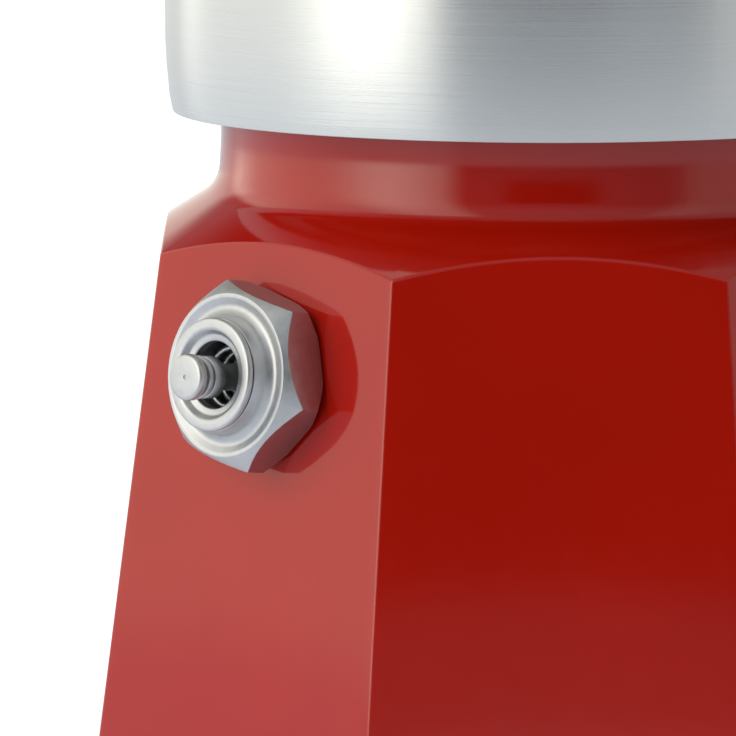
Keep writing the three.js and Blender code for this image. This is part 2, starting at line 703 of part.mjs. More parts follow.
function knob() {
  const outside = sided([
    [0, KNOB_Z],
    [5.6, KNOB_Z],
    [5.6, KNOB_Z + 0.8],
    [4.9, KNOB_Z + 3.5],
    [8.2, KNOB_Z + 12],
    [8.2, KNOB_Z + 14],
    [6.6, KNOB_Z + KNOB_HEIGHT],
    [0, KNOB_Z + KNOB_HEIGHT],
  ]);
  return outside.subtract(turned(rod(INSERT_R + GAP, KNOB_Z - 1, KNOB_Z + 10.3), FINE));
}

// A pan-head screw from the lid's underside, with a washer under its head.
const WASHER_Z = LID_Z + LID_EDGE + LID_RISE - LID_SHELL - 0.4 - GAP - 0.8;

function knobScrew() {
  const headZ = WASHER_Z - GAP;
  return turnedGeometry(
    [
      [0, headZ - 2],
      [2.2, headZ - 2],
      [3.4, headZ - 1.2],
      [3.4, headZ],
      [1.6, headZ],
      [1.6, KNOB_Z + 8],
      [0, KNOB_Z + 8],
    ],
    FINE,
  );
}

addPiece("lid", geometryOf(lid()), MATERIALS.brushed);
addPiece("knob", geometryOf(knob()), MATERIALS.phenolic);
const insertProfile = ring(1.9, INSERT_R, KNOB_Z + 0.2, KNOB_Z + 10);
addPiece("knob_insert", turnedGeometry(insertProfile, FINE), MATERIALS.brass);
addPiece("knob_screw", knobScrew(), MATERIALS.steel);
addPiece("knob_washer", turnedGeometry(ring(2.3, 4.4, WASHER_Z, WASHER_Z + 0.8), FINE), MATERIALS.steel);

export default pot;
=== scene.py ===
"""Looks of the moka pot: lacquered boiler, brushed collector, turned safety valve, black handle."""
import json
import math

import bmesh
import bpy
from mathutils import Matrix, Vector

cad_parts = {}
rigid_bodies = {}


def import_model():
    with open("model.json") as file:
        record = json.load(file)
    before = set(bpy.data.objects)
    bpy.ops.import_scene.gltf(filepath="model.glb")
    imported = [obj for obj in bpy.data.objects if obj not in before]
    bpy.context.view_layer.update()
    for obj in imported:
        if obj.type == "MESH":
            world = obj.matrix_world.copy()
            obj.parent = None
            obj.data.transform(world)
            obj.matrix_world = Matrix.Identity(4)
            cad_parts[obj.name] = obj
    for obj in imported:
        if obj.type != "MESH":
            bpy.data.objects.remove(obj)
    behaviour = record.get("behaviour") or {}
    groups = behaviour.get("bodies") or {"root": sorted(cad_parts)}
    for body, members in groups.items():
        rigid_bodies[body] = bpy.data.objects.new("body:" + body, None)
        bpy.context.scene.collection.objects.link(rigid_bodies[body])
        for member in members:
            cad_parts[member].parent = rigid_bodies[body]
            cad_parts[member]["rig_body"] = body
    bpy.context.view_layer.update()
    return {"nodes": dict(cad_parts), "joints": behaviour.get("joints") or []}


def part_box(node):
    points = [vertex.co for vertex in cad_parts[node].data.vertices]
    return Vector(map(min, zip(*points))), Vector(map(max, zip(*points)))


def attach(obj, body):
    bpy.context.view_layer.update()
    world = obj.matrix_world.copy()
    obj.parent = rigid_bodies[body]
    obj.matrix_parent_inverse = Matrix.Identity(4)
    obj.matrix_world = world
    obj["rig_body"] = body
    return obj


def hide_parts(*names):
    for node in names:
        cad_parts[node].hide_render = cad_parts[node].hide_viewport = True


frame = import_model()
nodes = frame["nodes"]
MM = 0.001

# ---------- places read from the frame, in metres ----------
RIM_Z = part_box("boiler")[1].z
COLLAR_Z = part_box("collector")[0].z
MOUTH_Z = COLLAR_Z + 72 * MM
JOINTS = {joint["name"]: joint for joint in frame["joints"]}
HINGE = Vector(JOINTS["lid_hinge"]["pos_m"])
VALVE_AXIS = Vector(JOINTS["valve_lift"]["axis"]).normalized()

# ---------- shape of the boiler, in metres ----------
SHOULDER_Z = COLLAR_Z - 10.4 * MM
SHOULDER_APOTHEM = 36.6 * MM
SIDE_SLOPE = 0.131
SHOULDER_DROP = 0.622
NECK_R = 31.3 * MM
NECK_FLARE = 0.27 * MM  # how far the neck widens before its fillet
BORE_R = 28.6 * MM
WALL = 2.6 * MM
FLOOR = 3 * MM
THREAD_PITCH = 3 * MM
THREAD_TURNS = 1.25
VALVE_DROP = 22.6 * MM  # from the collar's edge down to the valve's centre
VALVE_HOLE_R = 5.4 * MM

SIDES = 8
EDGE_ROUND = 0.013  # radius of the edges between flat sides, as a fraction of the apothem


# ---------- mesh helpers ----------
def add_mesh(name, verts, faces, materials, smooth=True):
    mesh = bpy.data.meshes.new(name)
    mesh.from_pydata([tuple(v) for v in verts], [], faces)
    bm = bmesh.new()
    bm.from_mesh(mesh)
    bmesh.ops.remove_doubles(bm, verts=bm.verts, dist=1e-6)
    bmesh.ops.dissolve_degenerate(bm, edges=bm.edges, dist=1e-7)
    bmesh.ops.recalc_face_normals(bm, faces=bm.faces)
    bm.to_mesh(mesh)
    bm.free()
    obj = bpy.data.objects.new(name, mesh)
    bpy.context.scene.collection.objects.link(obj)
    for material in materials:
        mesh.materials.append(material)
    if smooth:
        mesh.shade_smooth()
    return obj


def rounded(corners, steps=6):
    """A polyline whose corners (r, z, radius) are arcs, each of steps + 1 points."""
    points = []
    for i, (r, z, radius) in enumerate(corners):
        here = Vector((r, z))
        if radius <= 0 or i in (0, len(corners) - 1):
            points.append(here)
            continue
        before = Vector(corners[i - 1][:2]) - here
        after = Vector(corners[i + 1][:2]) - here
        u, v = before.normalized(), after.normalized()
        cosine = max(-1.0, min(1.0, u.dot(v)))
        half = math.acos(cosine) / 2
        reach = min(radius / math.tan(max(half, 1e-4)), before.length * 0.49, after.length * 0.49)
        radius = reach * math.tan(half)
        centre = here + (u + v).normalized() * (radius / math.sin(half))
        first = here + u * reach - centre
        last = here + v * reach - centre
        sweep = math.atan2(first.x * last.y - first.y * last.x, first.dot(last))
        for k in range(steps + 1):
            turn = sweep * k / steps
            c, s = math.cos(turn), math.sin(turn)
            points.append(centre + Vector((first.x * c - first.y * s, first.x * s + first.y * c)))
    return points


def side_columns(per_side, edge_columns=4, sides=SIDES):
    """Azimuths round a body with flat sides: even on each side, dense on its rounded edges."""
    edge = math.atan(EDGE_ROUND * math.sin(math.pi / sides) / (1 / math.cos(math.pi / sides)))
    angles = []
    for side in range(sides):
        middle = side * 2 * math.pi / sides
        reach = math.pi / sides - edge
        for i in range(per_side + 1):
            angles.append(middle - reach + 2 * reach * i / per_side)
        for i in range(1, edge_columns):
            angles.append(middle + reach + 2 * edge * i / edge_columns)
    return angles


def even_columns(count):
    return [2 * math.pi * i / count for i in range(count)]


def flat_factor(angle, sides=SIDES, edge=EDGE_ROUND, turn=0.0):
    """Radius over apothem of a polygon with rounded corners, with a side facing the azimuth turn."""
    step = 2 * math.pi / sides
    half = step / 2
    u = (angle - turn + half) % step - half
    off = half - abs(u)
    centre = (1 - edge) / math.cos(half)
    tangent = math.atan2(edge * math.sin(half), centre + edge * math.cos(half))
    if off >= tangent:
        return 1 / math.cos(u)
    return centre * math.cos(off) + math.sqrt(max(0.0, edge**2 - (centre * math.sin(off)) ** 2))


def spun(name, profile, angles, materials, closed=False, paint=None, place=None):
    """A skin over profile(angle), a list of (r, z) of fixed length, for each azimuth in angles."""
    columns = [profile(a) for a in angles]
    rows, count = len(columns[0]), len(angles)
    verts = []
    for a, column in zip(angles, columns):
        verts += [Vector((p[0] * math.cos(a), p[0] * math.sin(a), p[1])) for p in column]
    if place is not None:
        verts = [place @ v for v in verts]
    faces = []
    for i in range(count):
        j = (i + 1) % count
        for k in range(rows if closed else rows - 1):
            n = (k + 1) % rows
            faces.append((i * rows + k, j * rows + k, j * rows + n, i * rows + n))
    obj = add_mesh(name, verts, faces, materials)
    if paint is not None:
        for face in obj.data.polygons:
            face.material_index = paint(face)
    return obj


def sharpen(obj, degrees=35):
    """Marks creases sharper than this angle, so that flats stay flat under smooth shading."""
    mesh = obj.data
    bm = bmesh.new()
    bm.from_mesh(mesh)
    for edge in bm.edges:
        if len(edge.link_faces) == 2 and edge.calc_face_angle(0) > math.radians(degrees):
            edge.smooth = False
    bm.to_mesh(mesh)
    bm.free()
    return obj


def combine(obj, other, operation="DIFFERENCE"):
    """Joins the other shape to the piece, or takes it out of it."""
    modifier = obj.modifiers.new("shape", "BOOLEAN")
    modifier.operation = operation
    modifier.solver = "EXACT"
    modifier.object = other
    dg = bpy.context.evaluated_depsgraph_get()
    mesh = bpy.data.meshes.new_from_object(obj.evaluated_get(dg))
    obj.modifiers.clear()
    obj.data = mesh
    bpy.data.objects.remove(other)
    return obj


def bend(points, control, end, steps=14):
    """Adds a quadratic curve to an outline."""
    start = points[-1]
    for i in range(1, steps + 1):
        t = i / steps
        at_start, at_control, at_end = (1 - t) ** 2, 2 * t * (1 - t), t * t
        x = at_start * start[0] + at_control * control[0] + at_end * end[0]
        y = at_start * start[1] + at_control * control[1] + at_end * end[1]
        points.append((x, y))


def arc_points(centre, radius, first, last, steps=20):
    """Points of a circular arc in an outline's plane, angles in degrees."""
    turns = [math.radians(first + (last - first) * i / steps) for i in range(steps + 1)]
    return [(centre[0] + radius * math.cos(t), centre[1] + radius * math.sin(t)) for t in turns]


def inset(outline, distance):
    """The outline, which runs anticlockwise, moved inwards with mitred corners."""
    moved = []
    for i, point in enumerate(outline):
        here = Vector(point)
        before = (here - Vector(outline[i - 1])).normalized()
        after = (Vector(outline[(i + 1) % len(outline)]) - here).normalized()
        normal = Vector((-before.y - after.y, before.x + after.x)).normalized()
        lean = max(0.35, normal.dot(Vector((-after.y, after.x))))
        moved.append(here + normal * (distance / lean))
    return moved


def slab(name, outline, low, high, bevel, materials, axes="xz", steps=5):
    """An outline given thickness from low to high, with rounded rims; axes are those of the outline."""
    area = sum(a[0] * b[1] - b[0] * a[1] for a, b in zip(outline, outline[1:] + outline[:1]))
    if area < 0:
        outline = outline[::-1]
    rows = []
    for i in range(steps + 1):
        turn = math.pi / 2 * i / steps
        rows.append((bevel * (1 - math.sin(turn)), low + bevel * (1 - math.cos(turn))))
    rows += [(depth, low + high - level) for depth, level in reversed(rows)]
    verts = []
    for depth, level in rows:
        for p in inset(outline, depth):
            verts.append((p.x, level, p.y) if axes == "xz" else (p.x, p.y, level))
    count = len(outline)
    faces = [tuple(range(count)), tuple(range(len(verts) - 1, len(verts) - count - 1, -1))]
    for k in range(len(rows) - 1):
        for i in range(count):
            j = (i + 1) % count
            faces.append((k * count + i, k * count + j, (k + 1) * count + j, (k + 1) * count + i))
    return add_mesh(name, verts, faces, materials)


def box_cutter(low, high):
    """A plain box, for cutting."""
    outline = [(low[0], low[2]), (high[0], low[2]), (high[0], high[2]), (low[0], high[2])]
    return slab("cutter", outline, low[1], high[1], 0.0, (), steps=1)


def rod_cutter(radius, low, high, place, count=48):
    """A plain cylinder, for cutting."""
    outline = [(0, low), (radius, low), (radius, high), (0, high)]
    return spun("cutter", lambda angle: outline, even_columns(count), (), place=place)


def across(x, z, direction=1):
    """A frame whose +Z runs along Y at this place."""
    frame_axes = Matrix(((1, 0, 0), (0, 0, direction), (0, -direction, 0)))
    place = frame_axes.to_4x4()
    place.translation = Vector((x, 0, z))
    return place


def turned(node, corners, material, place=None, closed=False, count=64, crease=40):
    """A turned piece that stands for a CAD node; corners are (radius, height, rounding)."""
    profile = [(p.x, p.y) for p in rounded(corners, 4)]
    columns = even_columns(count)
    obj = spun(node + "_turned", lambda angle: profile, columns, (material,), closed=closed, place=place)
    return stands_for(sharpen(obj, crease), node)


def ring_corners(inner, outer, low, high, round_inner, round_outer=None):
    """A ring's section. It starts half way along its bore, so that all four corners can be round."""
    if round_outer is None:
        round_outer = round_inner
    middle = (inner, (low + high) / 2, 0)
    return [
        middle,
        (inner, low, round_inner),
        (outer, low, round_outer),
        (outer, high, round_outer),
        (inner, high, round_inner),
        middle,
    ]


def stands_for(obj, node):
    """The piece takes the CAD node's place and body, and the CAD node is hidden."""
    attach(obj, nodes[node]["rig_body"])
    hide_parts(node)
    return obj


# ---------- materials ----------
def new_material(name):
    material = bpy.data.materials.new(name)
    material.use_nodes = True
    tree = material.node_tree
    shader = tree.nodes["Principled BSDF"]
    return material, tree, shader


def value_noise(tree, coords, scale, detail=3.0, roughness=0.5):
    noise = tree.nodes.new("ShaderNodeTexNoise")
    noise.inputs["Scale"].default_value = scale
    noise.inputs["Detail"].default_value = detail
    noise.inputs["Roughness"].default_value = roughness
    tree.links.new(coords, noise.inputs["Vector"])
    return noise.outputs["Fac"]


def object_coords(tree, stretch=(1, 1, 1)):
    coords = tree.nodes.new("ShaderNodeTexCoord")
    mapping = tree.nodes.new("ShaderNodeMapping")
    mapping.inputs["Scale"].default_value = stretch
    tree.links.new(coords.outputs["Object"], mapping.inputs["Vector"])
    return mapping.outputs["Vector"]


def remap(tree, value, low, high, start=0.3, end=0.7):
    node = tree.nodes.new("ShaderNodeMapRange")
    node.inputs["From Min"].default_value = start
    node.inputs["From Max"].default_value = end
    node.inputs["To Min"].default_value = low
    node.inputs["To Max"].default_value = high
    tree.links.new(value, node.inputs["Value"])
    return node.outputs["Result"]


def two_tone(tree, value, dark, light):
    ramp = tree.nodes.new("ShaderNodeValToRGB")
    ramp.color_ramp.elements[0].position = 0.3
    ramp.color_ramp.elements[1].position = 0.7
    ramp.color_ramp.elements[0].color = (*dark, 1)
    ramp.color_ramp.elements[1].color = (*light, 1)
    tree.links.new(value, ramp.inputs["Fac"])
    return ramp.outputs["Color"]


def bump(tree, shader, height, strength, distance):
    node = tree.nodes.new("ShaderNodeBump")
    node.inputs["Strength"].default_value = strength
    node.inputs["Distance"].default_value = distance
    tree.links.new(height, node.inputs["Height"])
    tree.links.new(node.outputs["Normal"], shader.inputs["Normal"])


def red_lacquer():
    """Deep red gloss paint: slightly wavy, with faint uneven gloss."""
    material, tree, shader = new_material("red_lacquer")
    coords = object_coords(tree)
    tone = value_noise(tree, coords, 60, 4)
    color = two_tone(tree, tone, (0.372, 0.0062, 0.0010), (0.402, 0.0070, 0.0013))
    tree.links.new(color, shader.inputs["Base Color"])
    gloss = value_noise(tree, coords, 240, 5, 0.6)
    tree.links.new(remap(tree, gloss, 0.05, 0.10), shader.inputs["Roughness"])
    shader.inputs["IOR"].default_value = 1.5
    wave = value_noise(tree, coords, 900, 2)
    bump(tree, shader, wave, 0.06, 0.00002)
    return material


def brushed_aluminium():
    """Metal brushed round the pot: fine level lines, and highlights drawn out up and down."""
    material, tree, shader = new_material("brushed_aluminium")
    lines = value_noise(tree, object_coords(tree, (40, 40, 9000)), 1, 6, 0.75)
    patches = value_noise(tree, object_coords(tree), 45, 3)
    color = two_tone(tree, lines, (0.54, 0.55, 0.55), (0.61, 0.62, 0.62))
    tree.links.new(color, shader.inputs["Base Color"])
    mix = tree.nodes.new("ShaderNodeMath")
    mix.operation = "ADD"
    tree.links.new(remap(tree, lines, 0.24, 0.36), mix.inputs[0])
    tree.links.new(remap(tree, patches, -0.015, 0.02), mix.inputs[1])
    tree.links.new(mix.outputs[0], shader.inputs["Roughness"])
    shader.inputs["Metallic"].default_value = 1.0
    shader.inputs["Anisotropic"].default_value = 0.85
    shader.inputs["Anisotropic Rotation"].default_value = 0.25
    tangent = tree.nodes.new("ShaderNodeTangent")
    tangent.direction_type = "RADIAL"
    tangent.axis = "Z"
    tree.links.new(tangent.outputs["Tangent"], shader.inputs["Tangent"])
    bump(tree, shader, lines, 0.25, 0.00003)
    return material


def satin_metal(name, dark, light, rough, scale, strength):
    """Turned or plated metal with a fine even grain."""
    material, tree, shader = new_material(name)
    shader.inputs["Metallic"].default_value = 1.0
    coords = object_coords(tree)
    grain = value_noise(tree, coords, scale, 5, 0.7)
    tree.links.new(two_tone(tree, grain, dark, light), shader.inputs["Base Color"])
    tree.links.new(remap(tree, grain, rough[0], rough[1]), shader.inputs["Roughness"])
    bump(tree, shader, grain, strength, 0.00002)
    return material


def moulded_plastic():
    """Black thermoset: soft gloss with a fine moulded skin and faint handling marks."""
    material, tree, shader = new_material("black_phenolic")
    coords = object_coords(tree)
    skin = value_noise(tree, coords, 1800, 3)
    marks = value_noise(tree, coords, 120, 6, 0.65)
    color = two_tone(tree, marks, (0.008, 0.008, 0.009), (0.014, 0.014, 0.015))
    tree.links.new(color, shader.inputs["Base Color"])
    tree.links.new(remap(tree, marks, 0.26, 0.38), shader.inputs["Roughness"])
    bump(tree, shader, skin, 0.12, 0.00003)
    return material


def seal_rubber():
    """Off-white food rubber, matt with a light powdery mottle."""
    material, tree, shader = new_material("seal_rubber")
    coords = object_coords(tree)
    mottle = value_noise(tree, coords, 500, 5, 0.6)
    color = two_tone(tree, mottle, (0.66, 0.64, 0.56), (0.76, 0.74, 0.67))
    tree.links.new(color, shader.inputs["Base Color"])
    tree.links.new(remap(tree, mottle, 0.5, 0.68), shader.inputs["Roughness"])
    bump(tree, shader, mottle, 0.2, 0.00005)
    return material


RED = red_lacquer()
BRUSHED = brushed_aluminium()
CAST = satin_metal("cast_aluminium", (0.62, 0.63, 0.64), (0.72, 0.73, 0.74), (0.34, 0.5), 700, 0.5)
SHEET = satin_metal("sheet_aluminium", (0.74, 0.75, 0.76), (0.82, 0.83, 0.84), (0.24, 0.36), 600, 0.2)
NICKEL = satin_metal("nickel_brass", (0.45, 0.46, 0.48), (0.52, 0.53, 0.55), (0.36, 0.46), 1500, 0.05)
STEEL = satin_metal("steel", (0.58, 0.58, 0.59), (0.68, 0.68, 0.69), (0.16, 0.26), 1200, 0.15)
SPRING = satin_metal("spring_steel", (0.36, 0.36, 0.37), (0.48, 0.48, 0.49), (0.22, 0.32), 1600, 0.15)
BRASS = satin_metal("brass", (0.66, 0.47, 0.18), (0.76, 0.56, 0.24), (0.2, 0.32), 1100, 0.15)
BLACK = moulded_plastic()
RUBBER = seal_rubber()


# ---------- boiler ----------
def thread_height(angle, z, z0, height, width):
    """Height of a helical ridge above its wall: one start, rising anticlockwise, faded at both ends."""
    best = 0.0
    for lap in range(2):
        turn = angle / (2 * math.pi) + lap
        if turn > THREAD_TURNS:
            continue
        off = abs(z - z0 - THREAD_PITCH * turn) / width
        fade = min(1.0, turn / 0.08, (THREAD_TURNS - turn) / 0.08)
        best = max(best, height * max(0.0, min(1.0, 1.6 * (1 - off))) * max(0.0, fade))
    return best


def boiler_profile(angle):
    flat = flat_factor(angle)
    side_r = lambda z, wall=0.0: flat * (SHOULDER_APOTHEM + SIDE_SLOPE * (SHOULDER_Z - z) - wall)
    cone_z = lambda r: SHOULDER_Z - SHOULDER_DROP * (r - SHOULDER_APOTHEM)

    def meet(wall, cone_drop):
        """Where a flat side, moved in by wall, meets the shoulder cone, moved down by cone_drop."""
        # r = flat (A + S (Zs - z) - wall) and z = Zs - D (r - A) - cone_drop
        r = flat * (SHOULDER_APOTHEM - wall + SIDE_SLOPE * (cone_drop - SHOULDER_DROP * SHOULDER_APOTHEM))
        r /= 1 - flat * SIDE_SLOPE * SHOULDER_DROP
        return r, cone_z(r) - cone_drop

    edge_r, edge_z = meet(0.0, 0.0)
    inner_r, inner_z = meet(WALL, WALL)
    threaded_low, threaded_high = COLLAR_Z + 1.2 * MM, RIM_Z - 0.7 * MM
    outside = [
        (0, 0.4 * MM, 0),
        (29 * MM, 0.4 * MM, 0.3 * MM),
        (30 * MM, 0, 0.3 * MM),
        (side_r(0), 0, 1.3 * MM),
        (edge_r, edge_z, 0.55 * MM),
        (NECK_R + NECK_FLARE, cone_z(NECK_R + NECK_FLARE), 3.6 * MM),
        (NECK_R, COLLAR_Z - 2.8 * MM, 20 * MM),
        (NECK_R, threaded_low, 0),
    ]
    points = [(p.x, p.y) for p in rounded(outside)]
    rows = 28
    for i in range(1, rows + 1):
        z = threaded_low + (threaded_high - threaded_low) * i / rows
        ridge = thread_height(angle, z, RIM_Z - 6.2 * MM, 1.15 * MM, 1.05 * MM)
        points.append((NECK_R + ridge, z))
    inside = [
        (NECK_R, threaded_high, 0),
        (NECK_R, RIM_Z, 0.5 * MM),
        (BORE_R, RIM_Z, 0.5 * MM),
        (BORE_R, cone_z(BORE_R) - WALL - 1.2 * MM, 1.5 * MM),
        (inner_r, inner_z, 2 * MM),
        (side_r(FLOOR, WALL), FLOOR, 4 * MM),
        (0, FLOOR, 0),
    ]
    points += [(p.x, p.y) for p in rounded(inside)][1:]
    return points


def valve_place():
    """The valve's own frame: its +Z leaves the side at a right angle."""
    level = Vector((VALVE_AXIS.x, VALVE_AXIS.y, 0)).normalized()
    along = Vector((-level.y, level.x, 0))
    up = VALVE_AXIS.cross(along)
    z = COLLAR_Z - VALVE_DROP
    origin = level * (SHOULDER_APOTHEM + SIDE_SLOPE * (SHOULDER_Z - z))
    origin.z = z
    place = Matrix((along, up, VALVE_AXIS)).transposed().to_4x4()
    place.translation = origin
    return place


VALVE = valve_place()


def make_boiler():
    def paint(face):
        """Bare metal above the collar's edge and inside, lacquer elsewhere."""
        centre = face.center
        faces_in = centre.x * face.normal.x + centre.y * face.normal.y < -1e-9
        bare = centre.z > COLLAR_Z + 1 * MM
        inner_wall = faces_in and centre.z > 1 * MM
        inner_floor = abs(face.normal.z) > 0.99 and abs(centre.z - FLOOR) < 0.1 * MM
        return 1 if bare or inner_wall or inner_floor else 0

    obj = spun("boiler_shell", boiler_profile, side_columns(26), (RED, CAST), paint=paint)
    combine(obj, rod_cutter(VALVE_HOLE_R, -14 * MM, 3 * MM, VALVE, 32))
    return stands_for(sharpen(obj, 50), "boiler")


# ---------- safety valve ----------
HEX_APOTHEM = 7.9 * MM
HEX_TURN = math.radians(105.6 - 30)
HEX_FACE = 5.04 * MM
HEX_FACE_R = 7.56 * MM
HEX_SEAT = 0.3 * MM
HEX_SEAT_R = 8.1 * MM
SHANK_R = 5.1 * MM
SHANK_END = -9 * MM
SEAT_Z = -7.2 * MM
INLET_R = 1.6 * MM
CAP_R = 5.25 * MM
CAP_BORE_R = 3.7 * MM
CAP_HOLE_R = 3.1 * MM
CAP_TOP = HEX_FACE + 2.1 * MM
CAP_LIP = 0.6 * MM
LIP_UNDER = CAP_TOP - 1.65 * MM
PIN_FACE = HEX_FACE + 5.15 * MM
PIN_HEAD_R = 2.15 * MM
PIN_RING_R = 2 * MM
PIN_NECK_R = 1.95 * MM
PIN_STEM_R = 1.25 * MM
PLUNGER_R = 3.3 * MM
PIN_DROOP = Matrix.Rotation(math.radians(1.9), 4, "X")  # the pin lies loose in its hole


def hex_profile(angle):
    r = HEX_APOTHEM * flat_factor(angle, 6, 0.04, HEX_TURN)
    slope = (HEX_FACE - 3.4 * MM) / (9.13 * MM - HEX_FACE_R)
    front_z = HEX_FACE - slope * max(0.0, r - HEX_FACE_R)
    rear_z = HEX_SEAT + 1.1 / 1.05 * max(0.0, r - HEX_SEAT_R)
    cap_seat = CAP_TOP - CAP_LIP - 0.12 * MM
    corners = [
        (CAP_R, HEX_SEAT, 0),
        (min(r - 0.1 * MM, HEX_SEAT_R), HEX_SEAT, 0),
        (r, rear_z + 0.05 * MM, 0.12 * MM),
        (r, front_z - 0.05 * MM, 0.15 * MM),
        (HEX_FACE_R, HEX_FACE, 0.12 * MM),
        (7.2 * MM, HEX_FACE - 0.02 * MM, 0.3 * MM),
        (6.3 * MM, HEX_FACE - 0.52 * MM, 1.0 * MM),
        (5.6 * MM, HEX_FACE + 0.1 * MM, 0.9 * MM),
        (CAP_R, cap_seat, 0.1 * MM),
        (4.75 * MM, cap_seat, 0),
        (4.75 * MM, 2.4 * MM, 0),
        (CAP_BORE_R, 2.4 * MM, 0),
        (CAP_BORE_R, SEAT_Z, 0),
        (INLET_R, SEAT_Z, 0),
        (INLET_R, SHANK_END, 0),
        (SHANK_R, SHANK_END, 0.4 * MM),
        (SHANK_R, HEX_SEAT, 0),
    ]
    return [(p.x, p.y) for p in rounded(corners, 5)]


def make_valve_body():
    columns = [a + HEX_TURN for a in side_columns(14, 6, 6)]
    body = spun("valve_hexagon", hex_profile, columns, (NICKEL,), closed=True, place=VALVE)
    stands_for(sharpen(body, 32), "valve_body")


def make_valve_cap():
    corners = [
        (CAP_BORE_R, 2.8 * MM, 0),
        (4.4 * MM, 2.8 * MM, 0),
        (4.4 * MM, CAP_TOP - CAP_LIP, 0),
        (CAP_R, CAP_TOP - CAP_LIP, 0.1 * MM),
        (CAP_R, CAP_TOP, 0.42 * MM),
        (4.2 * MM, CAP_TOP, 0.4 * MM),
        (3.75 * MM, CAP_TOP - 0.62 * MM, 0.3 * MM),
        (CAP_HOLE_R, CAP_TOP - 0.7 * MM, 0.22 * MM),
        (CAP_HOLE_R, LIP_UNDER, 0.1 * MM),
        (CAP_BORE_R, LIP_UNDER, 0),
    ]
    turned("valve_cap", corners, NICKEL, VALVE, closed=True, count=96)


def make_valve_plunger():
    corners = [
        (0, -6.9 * MM, 0),
        (1 * MM, -6.9 * MM, 0),
        (1 * MM, -5.6 * MM, 0),
        (PLUNGER_R, -5.6 * MM, 0.1 * MM),
        (PLUNGER_R, -4.9 * MM, 0.1 * MM),
        (PIN_STEM_R, -4.9 * MM, 0),
        (PIN_STEM_R, PIN_FACE - 3.5 * MM, 0),
        (PIN_NECK_R, PIN_FACE - 3.45 * MM, 0.12 * MM),
        (PIN_NECK_R, PIN_FACE - 2.15 * MM, 0.12 * MM),
        (1.6 * MM, PIN_FACE - 2.1 * MM, 0.05 * MM),
        (1.6 * MM, PIN_FACE - 1.95 * MM, 0.05 * MM),
        (PIN_RING_R, PIN_FACE - 1.85 * MM, 0.12 * MM),
        (PIN_RING_R, PIN_FACE - 1.35 * MM, 0.12 * MM),
        (1.5 * MM, PIN_FACE - 1.3 * MM, 0.05 * MM),
        (1.5 * MM, PIN_FACE - 1.05 * MM, 0.05 * MM),
        (PIN_HEAD_R, PIN_FACE - 0.85 * MM, 0.1 * MM),
        (PIN_HEAD_R, PIN_FACE, 0.35 * MM),
        (0.22 * MM, PIN_FACE, 0.05 * MM),
        (0.1 * MM, PIN_FACE - 0.12 * MM, 0),
        (0, PIN_FACE - 0.12 * MM, 0),
    ]
    turned("valve_plunger", corners, NICKEL, VALVE @ PIN_DROOP)


def make_valve_spring():
    """A round wire whose last turn opens to bear on the cap's lip."""
    wire, mean, end = 0.3 * MM, 2.45 * MM, 3.05 * MM
    low, high = -4.6 * MM + wire, LIP_UNDER - wire - 0.3 * MM
    turns, per_turn, around = 7, 40, 12
    steps = turns * per_turn
    verts = []
    for i in range(steps + 1):
        turn = turns * i / steps
        r = mean + (end - mean) * max(0.0, turn - turns + 1)
        angle = 2 * math.pi * turn
        out = Vector((math.cos(angle), math.sin(angle), 0))
        centre = out * r + Vector((0, 0, low + (high - low) * i / steps))
        for k in range(around):
            round_wire = 2 * math.pi * k / around
            offset = out * math.cos(round_wire) + Vector((0, 0, 1)) * math.sin(round_wire)
            verts.append(VALVE @ (centre + offset * wire))
    faces = [tuple(range(around)), tuple(range(len(verts) - 1, len(verts) - around - 1, -1))]
    for i in range(steps):
        for k in range(around):
            n = (k + 1) % around
            faces.append((i * around + k, i * around + n, (i + 1) * around + n, (i + 1) * around + k))
    coil = add_mesh("valve_coil", verts, faces, (SPRING,))
    stands_for(sharpen(coil, 60), "valve_spring")


def make_valve_rubber():
    washer = ring_corners(VALVE_HOLE_R, 6.7 * MM, HEX_SEAT, HEX_SEAT + 1 * MM, 0.15 * MM, 0.25 * MM)
    turned("valve_washer", washer, RUBBER, VALVE, closed=True)
    seal = ring_corners(1.3 * MM, 2.7 * MM, -6.9 * MM, -5.9 * MM, 0.1 * MM, 0.25 * MM)
    turned("valve_seal", seal, RUBBER, VALVE @ PIN_DROOP, closed=True)


# ---------- collector ----------
CHAMBER_FLOOR = COLLAR_Z + 18.5 * MM
COLLAR_TOP = COLLAR_Z + 18 * MM
LOWER_Z = COLLAR_Z + 20 * MM
LOWER_APOTHEM = 31.6 * MM
MOUTH_APOTHEM = 38.6 * MM
CHAMBER_WALL = 2.2 * MM
COLLAR_R = 36.7 * MM
COLLAR_BORE_R = 33.9 * MM
SEAL_SEAT_R = 33 * MM
OUTLET_Z = MOUTH_Z - 17.5 * MM
COLUMN_TOP = MOUTH_Z - 11 * MM
SEAL_FACE = RIM_Z + 5.1 * MM
BEAK_TIP = 50 * MM
BEAK_HALF = 14 * MM
BEAK_DROP = 32 * MM
CHAMBER_SLOPE = (MOUTH_APOTHEM - LOWER_APOTHEM) / (MOUTH_Z - LOWER_Z)


def soft_max(a, b, width):
    """The larger of two lengths, blended where they are within width of each other."""
    h = max(0.0, width - abs(a - b)) / width
    return max(a, b) + h * h * width * 0.25


